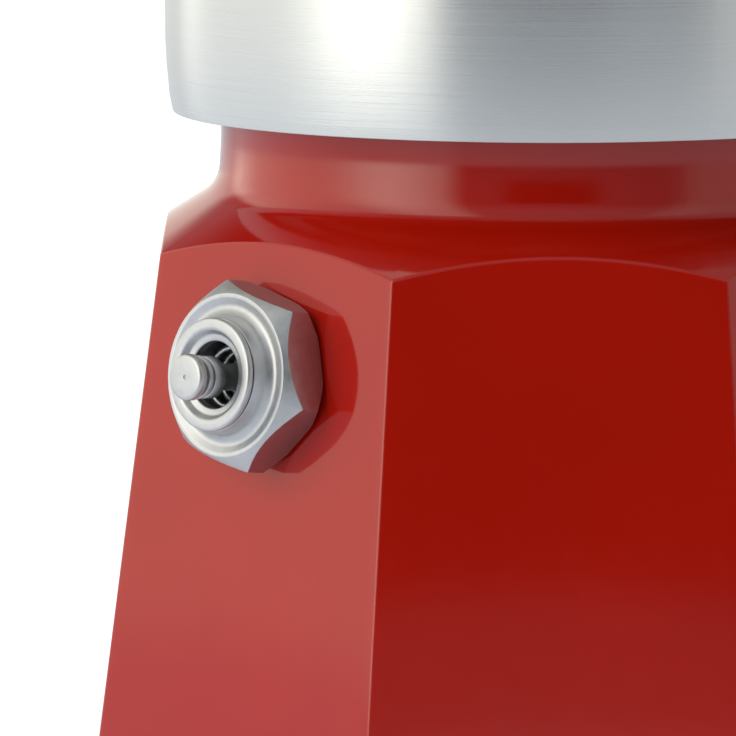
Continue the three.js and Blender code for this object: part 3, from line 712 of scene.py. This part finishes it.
def beak_radius(angle, z, inset):
    """Radius of the pouring beak's two faces at this azimuth and height, or 0 away from it."""
    psi = math.atan2(math.sin(angle - math.pi), math.cos(angle - math.pi))
    if abs(psi) > 0.6:
        return 0.0
    low_z = MOUTH_Z - BEAK_DROP
    low = Vector((LOWER_APOTHEM + CHAMBER_SLOPE * (low_z - LOWER_Z), 0, low_z))
    tip = Vector((BEAK_TIP, 0, MOUTH_Z))
    root = Vector((MOUTH_APOTHEM, BEAK_HALF, MOUTH_Z))
    normal = (tip - low).cross(root - low).normalized()
    ray = Vector((math.cos(psi), abs(math.sin(psi)), 0))
    return (normal.dot(low) - normal.z * z) / normal.dot(ray) - inset


def collector_profile(angle):
    flat = flat_factor(angle)

    def wall(z, inwards, beak_inwards):
        """Radius of the chamber's outer face, moved in by a wall's thickness for its inner face."""
        side = flat * (LOWER_APOTHEM + CHAMBER_SLOPE * (z - LOWER_Z) - inwards)
        return soft_max(side, beak_radius(angle, z, beak_inwards), 1.2 * MM)

    outer = lambda z: wall(z, 0, 0)
    inner = lambda z: wall(z, CHAMBER_WALL, 2.3 * MM)
    wall_low, wall_top = CHAMBER_FLOOR + 6 * MM, MOUTH_Z - 1 * MM
    threaded_low, threaded_high = COLLAR_Z + 0.8 * MM, RIM_Z + 0.6 * MM
    column = [
        (0, COLUMN_TOP, 0),
        (6.2 * MM, COLUMN_TOP, 3.4 * MM),
        (9.5 * MM, CHAMBER_FLOOR + 9.5 * MM, 4 * MM),
        (12 * MM, CHAMBER_FLOOR + 7 * MM, 3 * MM),
        (26 * MM, CHAMBER_FLOOR + 1 * MM, 2 * MM),
        (inner(CHAMBER_FLOOR), CHAMBER_FLOOR, 3 * MM),
        (inner(wall_low), wall_low, 0),
    ]
    points = [(p.x, p.y) for p in rounded(column, 5)]
    rows = 16
    for i in range(1, rows + 1):
        z = wall_low + (wall_top - wall_low) * i / rows
        points.append((inner(z), z))
    rim = [
        (inner(wall_top), wall_top, 0),
        (inner(MOUTH_Z), MOUTH_Z, 0.5 * MM),
        (outer(MOUTH_Z), MOUTH_Z, 0.5 * MM),
        (outer(wall_top), wall_top, 0),
    ]
    points += [(p.x, p.y) for p in rounded(rim, 4)][1:]
    # the flat sides end on a cone that rises from the collar's top
    foot_r, foot_z = 32.2 * MM, COLLAR_TOP + 0.6 * MM
    side_at_zero = flat * (LOWER_APOTHEM - CHAMBER_SLOPE * LOWER_Z)
    meet_z = (side_at_zero - foot_r + foot_z) / (1 - flat * CHAMBER_SLOPE)
    start = meet_z + 1.5 * MM
    for i in range(1, rows + 1):
        z = wall_top + (start - wall_top) * i / rows
        points.append((outer(z), z))
    collar = [
        (outer(start), start, 0),
        (foot_r + meet_z - foot_z, meet_z, 0.6 * MM),
        (foot_r, foot_z, 1 * MM),
        (COLLAR_R, COLLAR_TOP, 1.8 * MM),
        (COLLAR_R, COLLAR_Z + 7 * MM, 0),
        (COLLAR_R - 0.13 * MM, COLLAR_Z + 4.5 * MM, 0),
        (COLLAR_R - 0.4 * MM, COLLAR_Z + 1.5 * MM, 0),
        (COLLAR_R - 0.7 * MM, COLLAR_Z, 0.12 * MM),
        (COLLAR_BORE_R, COLLAR_Z, 0.3 * MM),
        (COLLAR_BORE_R, threaded_low, 0),
    ]
    points += [(p.x, p.y) for p in rounded(collar, 5)][1:]
    rows = 24
    for i in range(1, rows + 1):
        z = threaded_low + (threaded_high - threaded_low) * i / rows
        ridge = thread_height(angle, z, COLLAR_Z + 2.2 * MM, 1.05 * MM, 1.05 * MM)
        points.append((COLLAR_BORE_R - ridge, z))
    step = threaded_high + 0.4 * MM
    under = [
        (COLLAR_BORE_R, threaded_high, 0),
        (COLLAR_BORE_R, step, 0.1 * MM),
        (SEAL_SEAT_R, step, 0.1 * MM),
        (SEAL_SEAT_R, SEAL_FACE, 0.3 * MM),
        (24 * MM, SEAL_FACE, 1 * MM),
        (9 * MM, CHAMBER_FLOOR + 3 * MM, 2 * MM),
        (7 * MM, CHAMBER_FLOOR + 7 * MM, 2 * MM),
        (4 * MM, COLUMN_TOP - 6 * MM, 1 * MM),
        (0, COLUMN_TOP - 2.2 * MM, 0),
    ]
    points += [(p.x, p.y) for p in rounded(under, 4)][1:]
    return points


def collector_casting():
    """The collector without its tang and ears, with the two slots near the column's top."""

    def paint(face):
        """Brushed outside, as cast inside and underneath."""
        centre = face.center
        outward = face.normal.x * centre.x + face.normal.y * centre.y > 0
        return 0 if outward and math.hypot(centre.x, centre.y) > 31 * MM else 1

    obj = spun("collector_casting", collector_profile, side_columns(26), (BRUSHED, CAST), paint=paint)
    low = (-2 * MM, -9 * MM, OUTLET_Z - 2.5 * MM)
    high = (2 * MM, 9 * MM, OUTLET_Z + 2.5 * MM)
    combine(obj, box_cutter(low, high))
    return obj


# ---------- hinge, tang and handle ----------
EAR_R = 3.4 * MM
EAR_INNER, EAR_OUTER = 6.2 * MM, 9.2 * MM
HINGE_PIN_R = 1.5 * MM
HINGE_HOLE_R = HINGE_PIN_R + 0.3 * MM
BRIDGE_LOW, BRIDGE_TOP = MOUTH_Z - 6.5 * MM, MOUTH_Z - 2 * MM
SCREW_LOW, SCREW_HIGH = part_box("handle_screw")
SCREW = (SCREW_LOW + SCREW_HIGH) / 2
SCREW_R = 1.5 * MM
SCREW_HOLE_R = SCREW_R + 0.3 * MM
HANDLE_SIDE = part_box("handle")[1].y
TANG_HALF = 3 * MM
HEAD_R = 3.2 * MM
HEAD_HEIGHT = 1.4 * MM
NUT_APOTHEM = 2.75 * MM


def wall_x(z):
    """A place inside the chamber's wall on the handle side."""
    return LOWER_APOTHEM + CHAMBER_SLOPE * (z - LOWER_Z) - 1 * MM


def make_collector():
    """The casting, with the tang that holds the handle and the two ears that hold the lid."""
    obj = collector_casting()
    tang_low = SCREW.z - 6 * MM
    tang_end = SCREW.x + 5 * MM
    tang_top = BRIDGE_LOW + 1 * MM
    tang = [
        (wall_x(tang_low), tang_low),
        (tang_end, tang_low),
        (tang_end, tang_top),
        (wall_x(BRIDGE_LOW), tang_top),
    ]
    combine(obj, slab("tang", tang, -TANG_HALF, TANG_HALF, 0.5 * MM, (CAST,)), "UNION")
    bridge = [
        (wall_x(BRIDGE_LOW), BRIDGE_LOW),
        (HINGE.x + EAR_R, BRIDGE_LOW),
        (HINGE.x + EAR_R, BRIDGE_TOP),
        (wall_x(BRIDGE_TOP), BRIDGE_TOP),
    ]
    combine(obj, slab("bridge", bridge, -EAR_OUTER, EAR_OUTER, 0.7 * MM, (CAST,)), "UNION")
    ear = arc_points((HINGE.x, HINGE.z), EAR_R, 0, 180, 24)
    ear += [(HINGE.x - EAR_R, BRIDGE_TOP - 1.5 * MM), (HINGE.x + EAR_R, BRIDGE_TOP - 1.5 * MM)]
    for low in (-EAR_OUTER, EAR_INNER):
        combine(obj, slab("ear", ear, low, low + EAR_OUTER - EAR_INNER, 0.5 * MM, (CAST,)), "UNION")
    combine(obj, rod_cutter(HINGE_HOLE_R, -12 * MM, 12 * MM, across(HINGE.x, HINGE.z)))
    combine(obj, rod_cutter(SCREW_HOLE_R, -6 * MM, 6 * MM, across(SCREW.x, SCREW.z)))
    return stands_for(sharpen(obj, 40), "collector")


def handle_outline():
    """The handle's side view, from places measured from its screw."""
    at = lambda x, z: (SCREW.x + x * MM, SCREW.z + z * MM)
    points = [at(-4, -13.5), at(-7.4, -10.5), at(-4.6, 9.2), at(6.6, 9.2), at(8, 14.4), at(26, 16.6)]
    bend(points, at(35, 17.6), at(37.5, 9))
    bend(points, at(42, -18), at(44, -48))
    bend(points, at(44, -53), at(39.5, -52.5))
    points.append(at(35, -51.8))
    bend(points, at(31.8, -51.2), at(31.4, -47))
    bend(points, at(30, -24), at(25.5, -8))
    bend(points, at(24, -2.5), at(18, -4))
    bend(points, at(9, -8.5), at(4, -12.5))
    return points[::-1]


def make_handle():
    obj = slab("handle_grip", handle_outline(), -HANDLE_SIDE, HANDLE_SIDE, 2.4 * MM, (BLACK,), steps=8)
    gap = 0.3 * MM
    slot = TANG_HALF + gap
    slot_end = SCREW.x + 5 * MM + gap
    combine(obj, box_cutter((30 * MM, -slot, SCREW.z - 6 * MM - gap), (slot_end, slot, MOUTH_Z + 2 * MM)))
    place = across(SCREW.x, SCREW.z)
    beyond = HANDLE_SIDE + 1 * MM
    seat = HANDLE_SIDE - HEAD_HEIGHT - gap
    nut_corner = NUT_APOTHEM / math.cos(math.pi / 6)
    combine(obj, rod_cutter(SCREW_HOLE_R, -beyond, beyond, place))
    combine(obj, rod_cutter(HEAD_R + gap, -beyond, -seat, place))
    combine(obj, rod_cutter(nut_corner + gap, seat, beyond, place, 6))
    return stands_for(sharpen(obj, 40), "handle")


# ---------- fasteners ----------
def make_hinge_pin():
    half = EAR_OUTER + 0.6 * MM
    corners = [(0, -half, 0), (HINGE_PIN_R, -half, 0.4 * MM), (HINGE_PIN_R, half, 0.4 * MM), (0, half, 0)]
    turned("hinge_pin", corners, STEEL, across(HINGE.x, HINGE.z))


def make_handle_screw():
    side = HANDLE_SIDE
    corners = [
        (0, -side, 0),
        (HEAD_R, -side, 0.35 * MM),
        (HEAD_R, -side + HEAD_HEIGHT, 0.1 * MM),
        (SCREW_R, -side + HEAD_HEIGHT, 0),
        (SCREW_R, side - 0.3 * MM, 0.3 * MM),
        (0, side - 0.3 * MM, 0),
    ]
    obj = turned("handle_screw", corners, STEEL, across(SCREW.x, SCREW.z))
    reach, half = HEAD_R + 1 * MM, 0.4 * MM
    low = (SCREW.x - reach, -side - 1 * MM, SCREW.z - half)
    high = (SCREW.x + reach, -side + 0.6 * MM, SCREW.z + half)
    combine(obj, box_cutter(low, high))
    sharpen(obj, 40)


def make_handle_nut():
    low, high = HANDLE_SIDE - HEAD_HEIGHT, HANDLE_SIDE
    turn = math.pi / 6

    def profile(angle):
        r = NUT_APOTHEM * flat_factor(angle, 6, 0.03, turn)
        chamfer = 0.5 * max(0.0, r - 2.8 * MM)
        corners = [
            (SCREW_HOLE_R, low, 0),
            (r, low, 0),
            (r, high - 0.02 * MM - chamfer, 0.05 * MM),
            (NUT_APOTHEM - 0.05 * MM, high, 0.05 * MM),
            (SCREW_HOLE_R, high, 0),
        ]
        return [(p.x, p.y) for p in rounded(corners, 3)]

    columns = [a + turn for a in side_columns(8, 4, 6)]
    place = across(SCREW.x, SCREW.z)
    obj = spun("handle_nut_hexagon", profile, columns, (STEEL,), closed=True, place=place)
    stands_for(sharpen(obj, 30), "handle_nut")


# ---------- funnel, filter plate and seal ----------
FUNNEL_R = 28.3 * MM
SHEET_T = 0.8 * MM
BASKET_FLOOR = RIM_Z - 15.5 * MM
TUBE_R, TUBE_BORE = 4.5 * MM, 3.7 * MM


def make_funnel():
    low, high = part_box("funnel_basket")
    throat = TUBE_R + 0.3 * MM
    cone_end = low.z + 5.5 * MM
    flange = high.z - SHEET_T
    corners = [
        (throat, low.z, 0),
        (throat + SHEET_T, low.z, 0.2 * MM),
        (throat + SHEET_T, cone_end - 0.4 * MM, 1 * MM),
        (FUNNEL_R - 2.4 * MM, BASKET_FLOOR, 1.5 * MM),
        (FUNNEL_R, BASKET_FLOOR + 1.5 * MM, 1.2 * MM),
        (FUNNEL_R, flange, 0.3 * MM),
        (high.x, flange, 0.3 * MM),
        (high.x, high.z, 0.3 * MM),
        (FUNNEL_R - SHEET_T, high.z, 0.7 * MM),
        (FUNNEL_R - SHEET_T, BASKET_FLOOR + 1.7 * MM, 0.8 * MM),
        (FUNNEL_R - 2.6 * MM, BASKET_FLOOR + SHEET_T, 1 * MM),
        (throat, cone_end + 0.4 * MM, 0.6 * MM),
    ]
    turned("funnel_basket", corners, SHEET, closed=True, count=96)
    low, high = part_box("funnel_tube")
    tube = ring_corners(TUBE_BORE, TUBE_R, low.z, high.z, 0.2 * MM)
    turned("funnel_tube", tube, SHEET, closed=True)


def perforate(obj, rings, spacing, hole_r, low, high):
    """Cuts rings of fine holes, six more in each ring, through a disc."""
    bm = bmesh.new()
    depth = high - low + 1 * MM
    for n in range(rings + 1):
        count = max(1, 6 * n)
        for angle in even_columns(count):
            x, y = spacing * n * math.cos(angle), spacing * n * math.sin(angle)
            place = Matrix.Translation((x, y, (low + high) / 2))
            bmesh.ops.create_cone(
                bm, cap_ends=True, segments=12, radius1=hole_r, radius2=hole_r, depth=depth, matrix=place
            )
    mesh = bpy.data.meshes.new("holes")
    bm.to_mesh(mesh)
    bm.free()
    cutter = bpy.data.objects.new("holes", mesh)
    bpy.context.scene.collection.objects.link(cutter)
    combine(obj, cutter)


def make_screens():
    low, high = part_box("funnel_screen")
    corners = [(0, low.z, 0), (high.x, low.z, 0.2 * MM), (high.x, high.z, 0.2 * MM), (0, high.z, 0)]
    obj = turned("funnel_screen", corners, SHEET, count=96)
    perforate(obj, 7, 3.5 * MM, 0.6 * MM, low.z, high.z)
    sharpen(obj, 40)
    low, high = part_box("filter_plate")
    r = high.x
    corners = [
        (0, low.z, 0),
        (r, low.z, 0.5 * MM),
        (r, high.z, 0.2 * MM),
        (r - SHEET_T, high.z, 0.2 * MM),
        (r - SHEET_T, low.z + SHEET_T, 0.3 * MM),
        (0, low.z + SHEET_T, 0),
    ]
    obj = turned("filter_plate", corners, SHEET, count=96)
    perforate(obj, 6, 3.5 * MM, 0.5 * MM, low.z, low.z + SHEET_T)
    sharpen(obj, 40)


def make_gasket():
    low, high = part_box("gasket")
    section = ring_corners(26.8 * MM, high.x, low.z, high.z, 0.4 * MM)
    turned("gasket", section, RUBBER, closed=True, count=96)


# ---------- lid and knob ----------
BEAK_COVER_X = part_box("lid")[0].x
LID_Z = MOUTH_Z + 0.3 * MM
LID_APOTHEM = 39.6 * MM
LID_EDGE_Z = LID_Z + 2 * MM
LID_TOP = LID_EDGE_Z + 5 * MM
LID_SHELL = 2 * MM
KNOB_LOW, KNOB_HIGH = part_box("knob")


def lid_profile(angle):
    flat = flat_factor(angle, edge=0.03)
    hole = 2.3 * MM
    lip_out, lip_in = flat * 35.7 * MM, flat * 34.5 * MM
    lip_low = LID_Z - 2 * MM
    corners = [
        (hole, LID_TOP - LID_SHELL, 0),
        (flat * 9 * MM, LID_TOP - LID_SHELL, 2 * MM),
        (lip_in, LID_Z + 0.2 * MM, 0.8 * MM),
        (lip_in, lip_low, 0.25 * MM),
        (lip_out, lip_low, 0.4 * MM),
        (lip_out, LID_Z, 0.2 * MM),
        (flat * LID_APOTHEM, LID_Z, 0.4 * MM),
        (flat * LID_APOTHEM, LID_EDGE_Z, 0.7 * MM),
        (flat * 9 * MM, LID_TOP, 2.5 * MM),
        (hole, LID_TOP, 0.2 * MM),
    ]
    return [(p.x, p.y) for p in rounded(corners, 5)]


def lid_tongue():
    """The point of the lid that covers the pouring beak."""
    root, tip_half, root_half = -LID_APOTHEM + 1 * MM, 1.2 * MM, 11 * MM
    outline = [
        (BEAK_COVER_X, tip_half),
        (BEAK_COVER_X, -tip_half),
        (root, -root_half),
        (root + 2 * MM, -root_half),
        (root + 2 * MM, root_half),
        (root, root_half),
    ]
    return slab("tongue", outline, LID_Z, LID_EDGE_Z - 0.4 * MM, 0.4 * MM, (BRUSHED,), axes="xy")


def make_lid():
    def paint(face):
        """Brushed on top and on the edge, as cast underneath."""
        on_edge = abs(face.normal.z) < 0.3 and face.center.z > LID_Z
        return 0 if on_edge or face.normal.z > 0.05 else 1

    obj = spun("lid_shell", lid_profile, side_columns(20), (BRUSHED, CAST), closed=True, paint=paint)
    half = EAR_INNER - 0.5 * MM
    web_top = HINGE.z + 1.5 * MM
    web_x = LID_APOTHEM - 2 * MM
    low_angle = math.degrees(math.asin((LID_Z - HINGE.z) / (3 * MM)))
    knuckle = arc_points((HINGE.x, HINGE.z), 3 * MM, -180 - low_angle, 150, 32)
    knuckle += [(web_x, web_top), (web_x, LID_Z)]
    combine(obj, slab("knuckle", knuckle, -half, half, 0.4 * MM, (BRUSHED,)), "UNION")
    combine(obj, lid_tongue(), "UNION")
    combine(obj, rod_cutter(HINGE_HOLE_R, -12 * MM, 12 * MM, across(HINGE.x, HINGE.z)))
    return stands_for(sharpen(obj, 30), "lid")


def knob_profile(angle):
    flat = flat_factor(angle, edge=0.08)
    z, bore = KNOB_LOW.z, 3.4 * MM
    corners = [
        (0, z + 10.3 * MM, 0),
        (bore, z + 10.3 * MM, 0),
        (bore, z, 0),
        (flat * 5.6 * MM, z, 0.3 * MM),
        (flat * 5.6 * MM, z + 0.8 * MM, 0.4 * MM),
        (flat * 4.9 * MM, z + 3.5 * MM, 3 * MM),
        (flat * 8.2 * MM, z + 12 * MM, 2.5 * MM),
        (flat * 8.2 * MM, z + 14 * MM, 0.8 * MM),
        (flat * 6.6 * MM, KNOB_HIGH.z, 0.9 * MM),
        (0, KNOB_HIGH.z, 0),
    ]
    return [(p.x, p.y) for p in rounded(corners, 6)]


def make_knob():
    obj = spun("knob_grip", knob_profile, side_columns(12, 6), (BLACK,))
    return stands_for(sharpen(obj, 40), "knob")


def make_knob_fixings():
    low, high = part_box("knob_insert")
    bush = ring_corners(1.9 * MM, high.x, low.z, high.z, 0.15 * MM)
    turned("knob_insert", bush, BRASS, closed=True)
    low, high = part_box("knob_washer")
    disc = ring_corners(2.3 * MM, high.x, low.z, high.z, 0.1 * MM)
    turned("knob_washer", disc, STEEL, closed=True)
    low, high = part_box("knob_screw")
    head = low.z + 2 * MM
    corners = [
        (0, low.z, 0),
        (2.2 * MM, low.z, 0.4 * MM),
        (high.x, head - 0.8 * MM, 0.4 * MM),
        (high.x, head, 0.1 * MM),
        (1.6 * MM, head, 0),
        (1.6 * MM, high.z, 0.3 * MM),
        (0, high.z, 0),
    ]
    obj = turned("knob_screw", corners, STEEL)
    half, reach = 0.4 * MM, 4 * MM
    combine(obj, box_cutter((-reach, -half, low.z - 1 * MM), (reach, half, low.z + 0.7 * MM)))
    sharpen(obj, 40)


# ---------- studio ----------
def make_floor():
    material, tree, shader = new_material("pale_floor")
    tone = value_noise(tree, object_coords(tree), 3, 2)
    color = two_tone(tree, tone, (0.86, 0.86, 0.86), (0.88, 0.88, 0.88))
    tree.links.new(color, shader.inputs["Base Color"])
    shader.inputs["Roughness"].default_value = 0.9
    shader.inputs["Emission Color"].default_value = (1, 1, 1, 1)
    shader.inputs["Emission Strength"].default_value = 0.55
    bpy.ops.mesh.primitive_plane_add(size=8, location=(0, 0, -0.0002))
    floor = bpy.context.object
    floor.name = "floor"
    floor.data.materials.append(material)
    floor.visible_glossy = False
    floor.visible_diffuse = False


class Sky:
    """Small helper for sums of soft patches of light on the studio's walls."""

    def __init__(self, world):
        self.tree = world.node_tree
        coords = self.tree.nodes.new("ShaderNodeTexCoord")
        self.direction = coords.outputs["Generated"]

    def math(self, operation, a, b=None):
        node = self.tree.nodes.new("ShaderNodeMath")
        node.operation = operation
        for socket, value in zip(node.inputs, (a, b)):
            if isinstance(value, (int, float)):
                socket.default_value = value
            elif value is not None:
                self.tree.links.new(value, socket)
        return node.outputs[0]

    def along(self, azimuth, elevation=0.0):
        """Cosine between the direction and a bearing: 0 is -Y, 90 is -X; elevation in degrees."""
        a, e = math.radians(azimuth), math.radians(elevation)
        bearing = (-math.sin(a) * math.cos(e), -math.cos(a) * math.cos(e), math.sin(e))
        dot = self.tree.nodes.new("ShaderNodeVectorMath")
        dot.operation = "DOT_PRODUCT"
        self.tree.links.new(self.direction, dot.inputs[0])
        dot.inputs[1].default_value = bearing
        return dot.outputs["Value"]

    def bearing(self, azimuth):
        """Cosine between the direction's compass bearing and this azimuth, whatever its elevation."""
        up = self.along(0, 90)
        level_squared = self.math("SUBTRACT", 1.0, self.math("MULTIPLY", up, up))
        level = self.math("SQRT", self.math("MAXIMUM", level_squared, 0.002))
        return self.math("DIVIDE", self.along(azimuth), level)

    def product(self, first, *others):
        for other in others:
            first = self.math("MULTIPLY", first, other)
        return first

    def total(self, *parts):
        """Sum of (value, strength) pairs."""
        value = self.math("MULTIPLY", *parts[0])
        for part, strength in parts[1:]:
            value = self.math("ADD", value, self.math("MULTIPLY", part, strength))
        return value

    def ramp(self, value, start, end, low=0.0, high=1.0):
        node = self.tree.nodes.new("ShaderNodeMapRange")
        node.interpolation_type = "SMOOTHSTEP"
        for socket, number in zip(("From Min", "From Max", "To Min", "To Max"), (start, end, low, high)):
            node.inputs[socket].default_value = number
        self.tree.links.new(value, node.inputs["Value"])
        return node.outputs["Result"]


def make_studio():
    """A white table under a dim room, with a tall softbox on the left and a weaker one on the right."""
    world = bpy.data.worlds.new("studio")
    bpy.context.scene.world = world
    world.use_nodes = True
    sky = Sky(world)
    up = sky.along(0, 90)
    above = sky.ramp(up, -0.09, -0.03)
    ceiling = sky.product(sky.ramp(up, 0.985, 0.90), sky.ramp(up, 0.8, 0.4, 0.7, 1.0))
    low = sky.ramp(up, 0.36, 0.24)
    side = sky.ramp(sky.bearing(88), 0.50, 0.67)
    core = sky.math("POWER", sky.math("MAXIMUM", sky.bearing(58), 0.0), 20.0)
    tall_core = sky.math("MULTIPLY", core, sky.ramp(up, 0.95, 0.3, 0.45, 1.0))
    left = sky.math("ADD", sky.math("MULTIPLY", tall_core, 2.0), 1.2)
    left = sky.product(left, side, above, ceiling)
    right = sky.product(sky.ramp(sky.bearing(-95), 0.6, 0.8), above, ceiling)
    back = sky.product(sky.ramp(sky.bearing(180), 0.5, 0.8), above, low)
    table = sky.math("ADD", sky.math("MULTIPLY", side, 0.25), 0.85)
    table = sky.product(table, sky.math("SUBTRACT", 1.0, above))
    top = sky.product(sky.ramp(up, 0.35, 0.7), sky.ramp(sky.bearing(0), 0.0, 0.5))
    dark_back = sky.ramp(sky.along(165, 64), 0.76, 0.90, 1.0, 0.1)
    at_camera = sky.ramp(sky.bearing(-1), 0.927, 0.988)
    camera_side = sky.product(at_camera, sky.ramp(up, 0.012, 0.050), sky.ramp(up, 0.41, 0.26))
    dark_camera = sky.math("SUBTRACT", 1.0, sky.math("MULTIPLY", camera_side, 0.85))
    room = sky.product(dark_camera, above, dark_back)
    cool = sky.total((room, 0.26), (top, 0.25), (table, 1.0))
    warm = sky.total((left, 1.0), (right, 0.5), (back, 0.85))
    tree = world.node_tree
    lights = tree.nodes.new("ShaderNodeAddShader")
    for socket, color, strength in ((0, (0.93, 0.98, 1.04), cool), (1, (1.04, 1.0, 0.86), warm)):
        light = tree.nodes.new("ShaderNodeBackground")
        light.inputs["Color"].default_value = (*color, 1)
        tree.links.new(strength, light.inputs["Strength"])
        tree.links.new(light.outputs[0], lights.inputs[socket])
    white = tree.nodes["Background"]
    white.inputs["Color"].default_value = (1, 1, 1, 1)
    white.inputs["Strength"].default_value = 1.05
    seen = tree.nodes.new("ShaderNodeLightPath")
    mix = tree.nodes.new("ShaderNodeMixShader")
    tree.links.new(seen.outputs["Is Camera Ray"], mix.inputs["Fac"])
    tree.links.new(lights.outputs[0], mix.inputs[1])
    tree.links.new(white.outputs[0], mix.inputs[2])
    tree.links.new(mix.outputs[0], tree.nodes["World Output"].inputs["Surface"])


def make_camera():
    """The photograph's viewpoint, fitted to the collar's edge, the flat sides and the valve."""
    data = bpy.data.cameras.new("camera")
    data.lens = 243.56
    data.sensor_width = 36
    camera = bpy.data.objects.new("camera", data)
    bpy.context.scene.collection.objects.link(camera)
    camera.location = (-23.44 * MM, -485.3 * MM, COLLAR_Z + 43.01 * MM)
    camera.rotation_mode = "QUATERNION"
    camera.rotation_quaternion = Vector((0.01328, 0.99006, -0.14002)).to_track_quat("-Z", "Y")
    data.clip_start = 0.01
    bpy.context.scene.camera = camera


make_camera()
make_studio()
make_floor()
bpy.context.scene.view_settings.view_transform = "Standard"
make_boiler()
make_valve_body()
make_valve_cap()
make_valve_plunger()
make_valve_spring()
make_valve_rubber()
make_funnel()
make_screens()
make_gasket()
make_collector()
make_handle()
make_hinge_pin()
make_handle_screw()
make_handle_nut()
make_knob_fixings()
make_lid()
make_knob()
